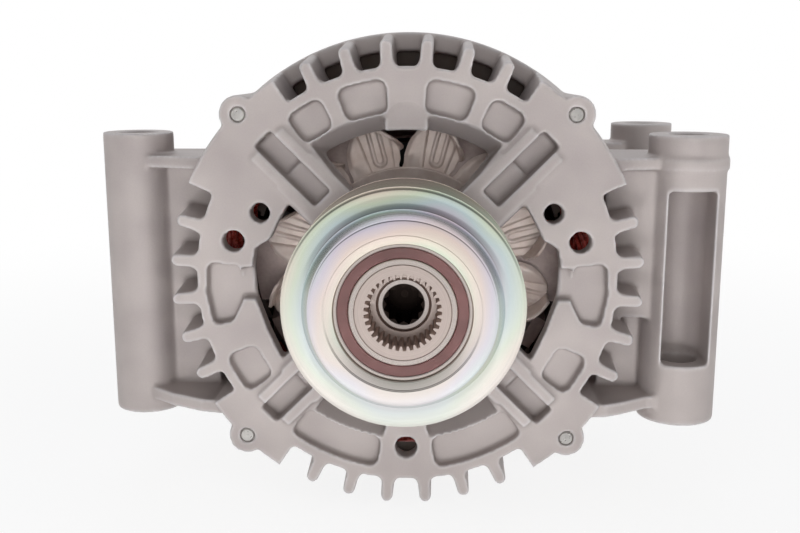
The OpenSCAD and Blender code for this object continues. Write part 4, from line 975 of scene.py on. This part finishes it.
def hang_lamps(key):
    """The soft lamps, each with a share of the key light's power."""
    lamp("key_softbox", place=(-0.35, -0.55, 0.75), aim=LAMP_AIM, size=0.6, power=key)
    lamp("fill_softbox", place=(0.6, -0.6, 0.3), aim=LAMP_AIM, size=0.5, power=key * 0.8)
    lamp("front_softbox", place=(0, -0.75, 0.12), aim=(0, 0, 0), size=0.3, power=key)
    # Cooler light from above and behind, as from a window, on the tops of fins and arms.
    window = lamp("top_softbox", place=(0, 0.25, 0.8), aim=LAMP_AIM, size=0.6, power=key * 0.9)
    window.data.color = linear("D3DEF6")[:3]
    lamp("rear_softbox", place=(-0.3, 0.95, 0.4), aim=(0, 0.06, 0), size=0.6, power=key * 1.5)
    # Shines on the floor in front alone, which sends the light up to the lower half.
    bounce = lamp("floor_softbox", place=(0, -0.5, 0.5), aim=(0, -0.5, -1), size=0.5,
                  power=key * 2.5)
    bounce.data.spread = math.radians(50)
    # A low strip in front, close by, so that the lower half is brighter than the top.
    strip = lamp("low_softbox", place=(0, -0.21, -0.066), aim=(0, 0, -0.02), size=0.3,
                 power=key * 0.26)
    strip.data.shape = "RECTANGLE"
    strip.data.size_y = 0.015


# The photograph's camera, fitted to the part's real sizes.
LENS = 44.82
SENSOR = 36.0
CAMERA_PLACE = (0.00685, -0.31218, 0.06619)
CAMERA_DOWN, CAMERA_LEFT = 11.13, 1.62


def place_camera():
    """The camera at the photograph's place."""
    data = bpy.data.cameras.new("photo_camera")
    data.sensor_width = SENSOR
    data.lens = LENS
    data.clip_start = 0.01
    camera = bpy.data.objects.new("photo_camera", data)
    bpy.context.collection.objects.link(camera)
    camera.location = CAMERA_PLACE
    camera.rotation_euler = (math.radians(90 - CAMERA_DOWN), 0, math.radians(CAMERA_LEFT))
    bpy.context.scene.camera = camera


class ALTERNATOR_OT_stage(bpy.types.Operator):
    """Sets the white floor, the soft light and the camera"""

    bl_idname = "alternator.stage"
    bl_label = "Stage"

    def execute(self, context):
        sizes = context.scene.alternator_stage
        lay_floor(sizes.floor)
        paint_room()
        hang_lamps(sizes.key)
        place_camera()
        context.scene.view_settings.view_transform = "Standard"
        return {"FINISHED"}


class ALTERNATOR_PT_panel(bpy.types.Panel):
    """Lists the pieces of the alternator"""

    bl_label = "Alternator"
    bl_idname = "ALTERNATOR_PT_panel"
    bl_space_type = "VIEW_3D"
    bl_region_type = "UI"
    bl_category = "Alternator"

    def draw(self, context):
        for name in STEPS:
            self.layout.operator("alternator." + name)


STEPS = ("finishes", "castings", "pulley", "fans", "winding", "rear", "stage")
SETTINGS = {
    "alternator_castings": CastingSettings,
    "alternator_pulley": PulleySettings,
    "alternator_fans": FanSettings,
    "alternator_winding": WindingSettings,
    "alternator_stage": StageSettings,
}
CLASSES = (
    *SETTINGS.values(),
    ALTERNATOR_OT_finishes,
    ALTERNATOR_OT_castings,
    ALTERNATOR_OT_pulley,
    ALTERNATOR_OT_fans,
    ALTERNATOR_OT_winding,
    ALTERNATOR_OT_rear,
    ALTERNATOR_OT_stage,
    ALTERNATOR_PT_panel,
)


def register():
    for kind in CLASSES:
        bpy.utils.register_class(kind)
    for name, kind in SETTINGS.items():
        setattr(bpy.types.Scene, name, PointerProperty(type=kind))


def unregister():
    for name in SETTINGS:
        delattr(bpy.types.Scene, name)
    for kind in reversed(CLASSES):
        bpy.utils.unregister_class(kind)


def main():
    register()
    for name in STEPS:
        getattr(bpy.ops.alternator, name)()


if __name__ == "__main__":
    main()
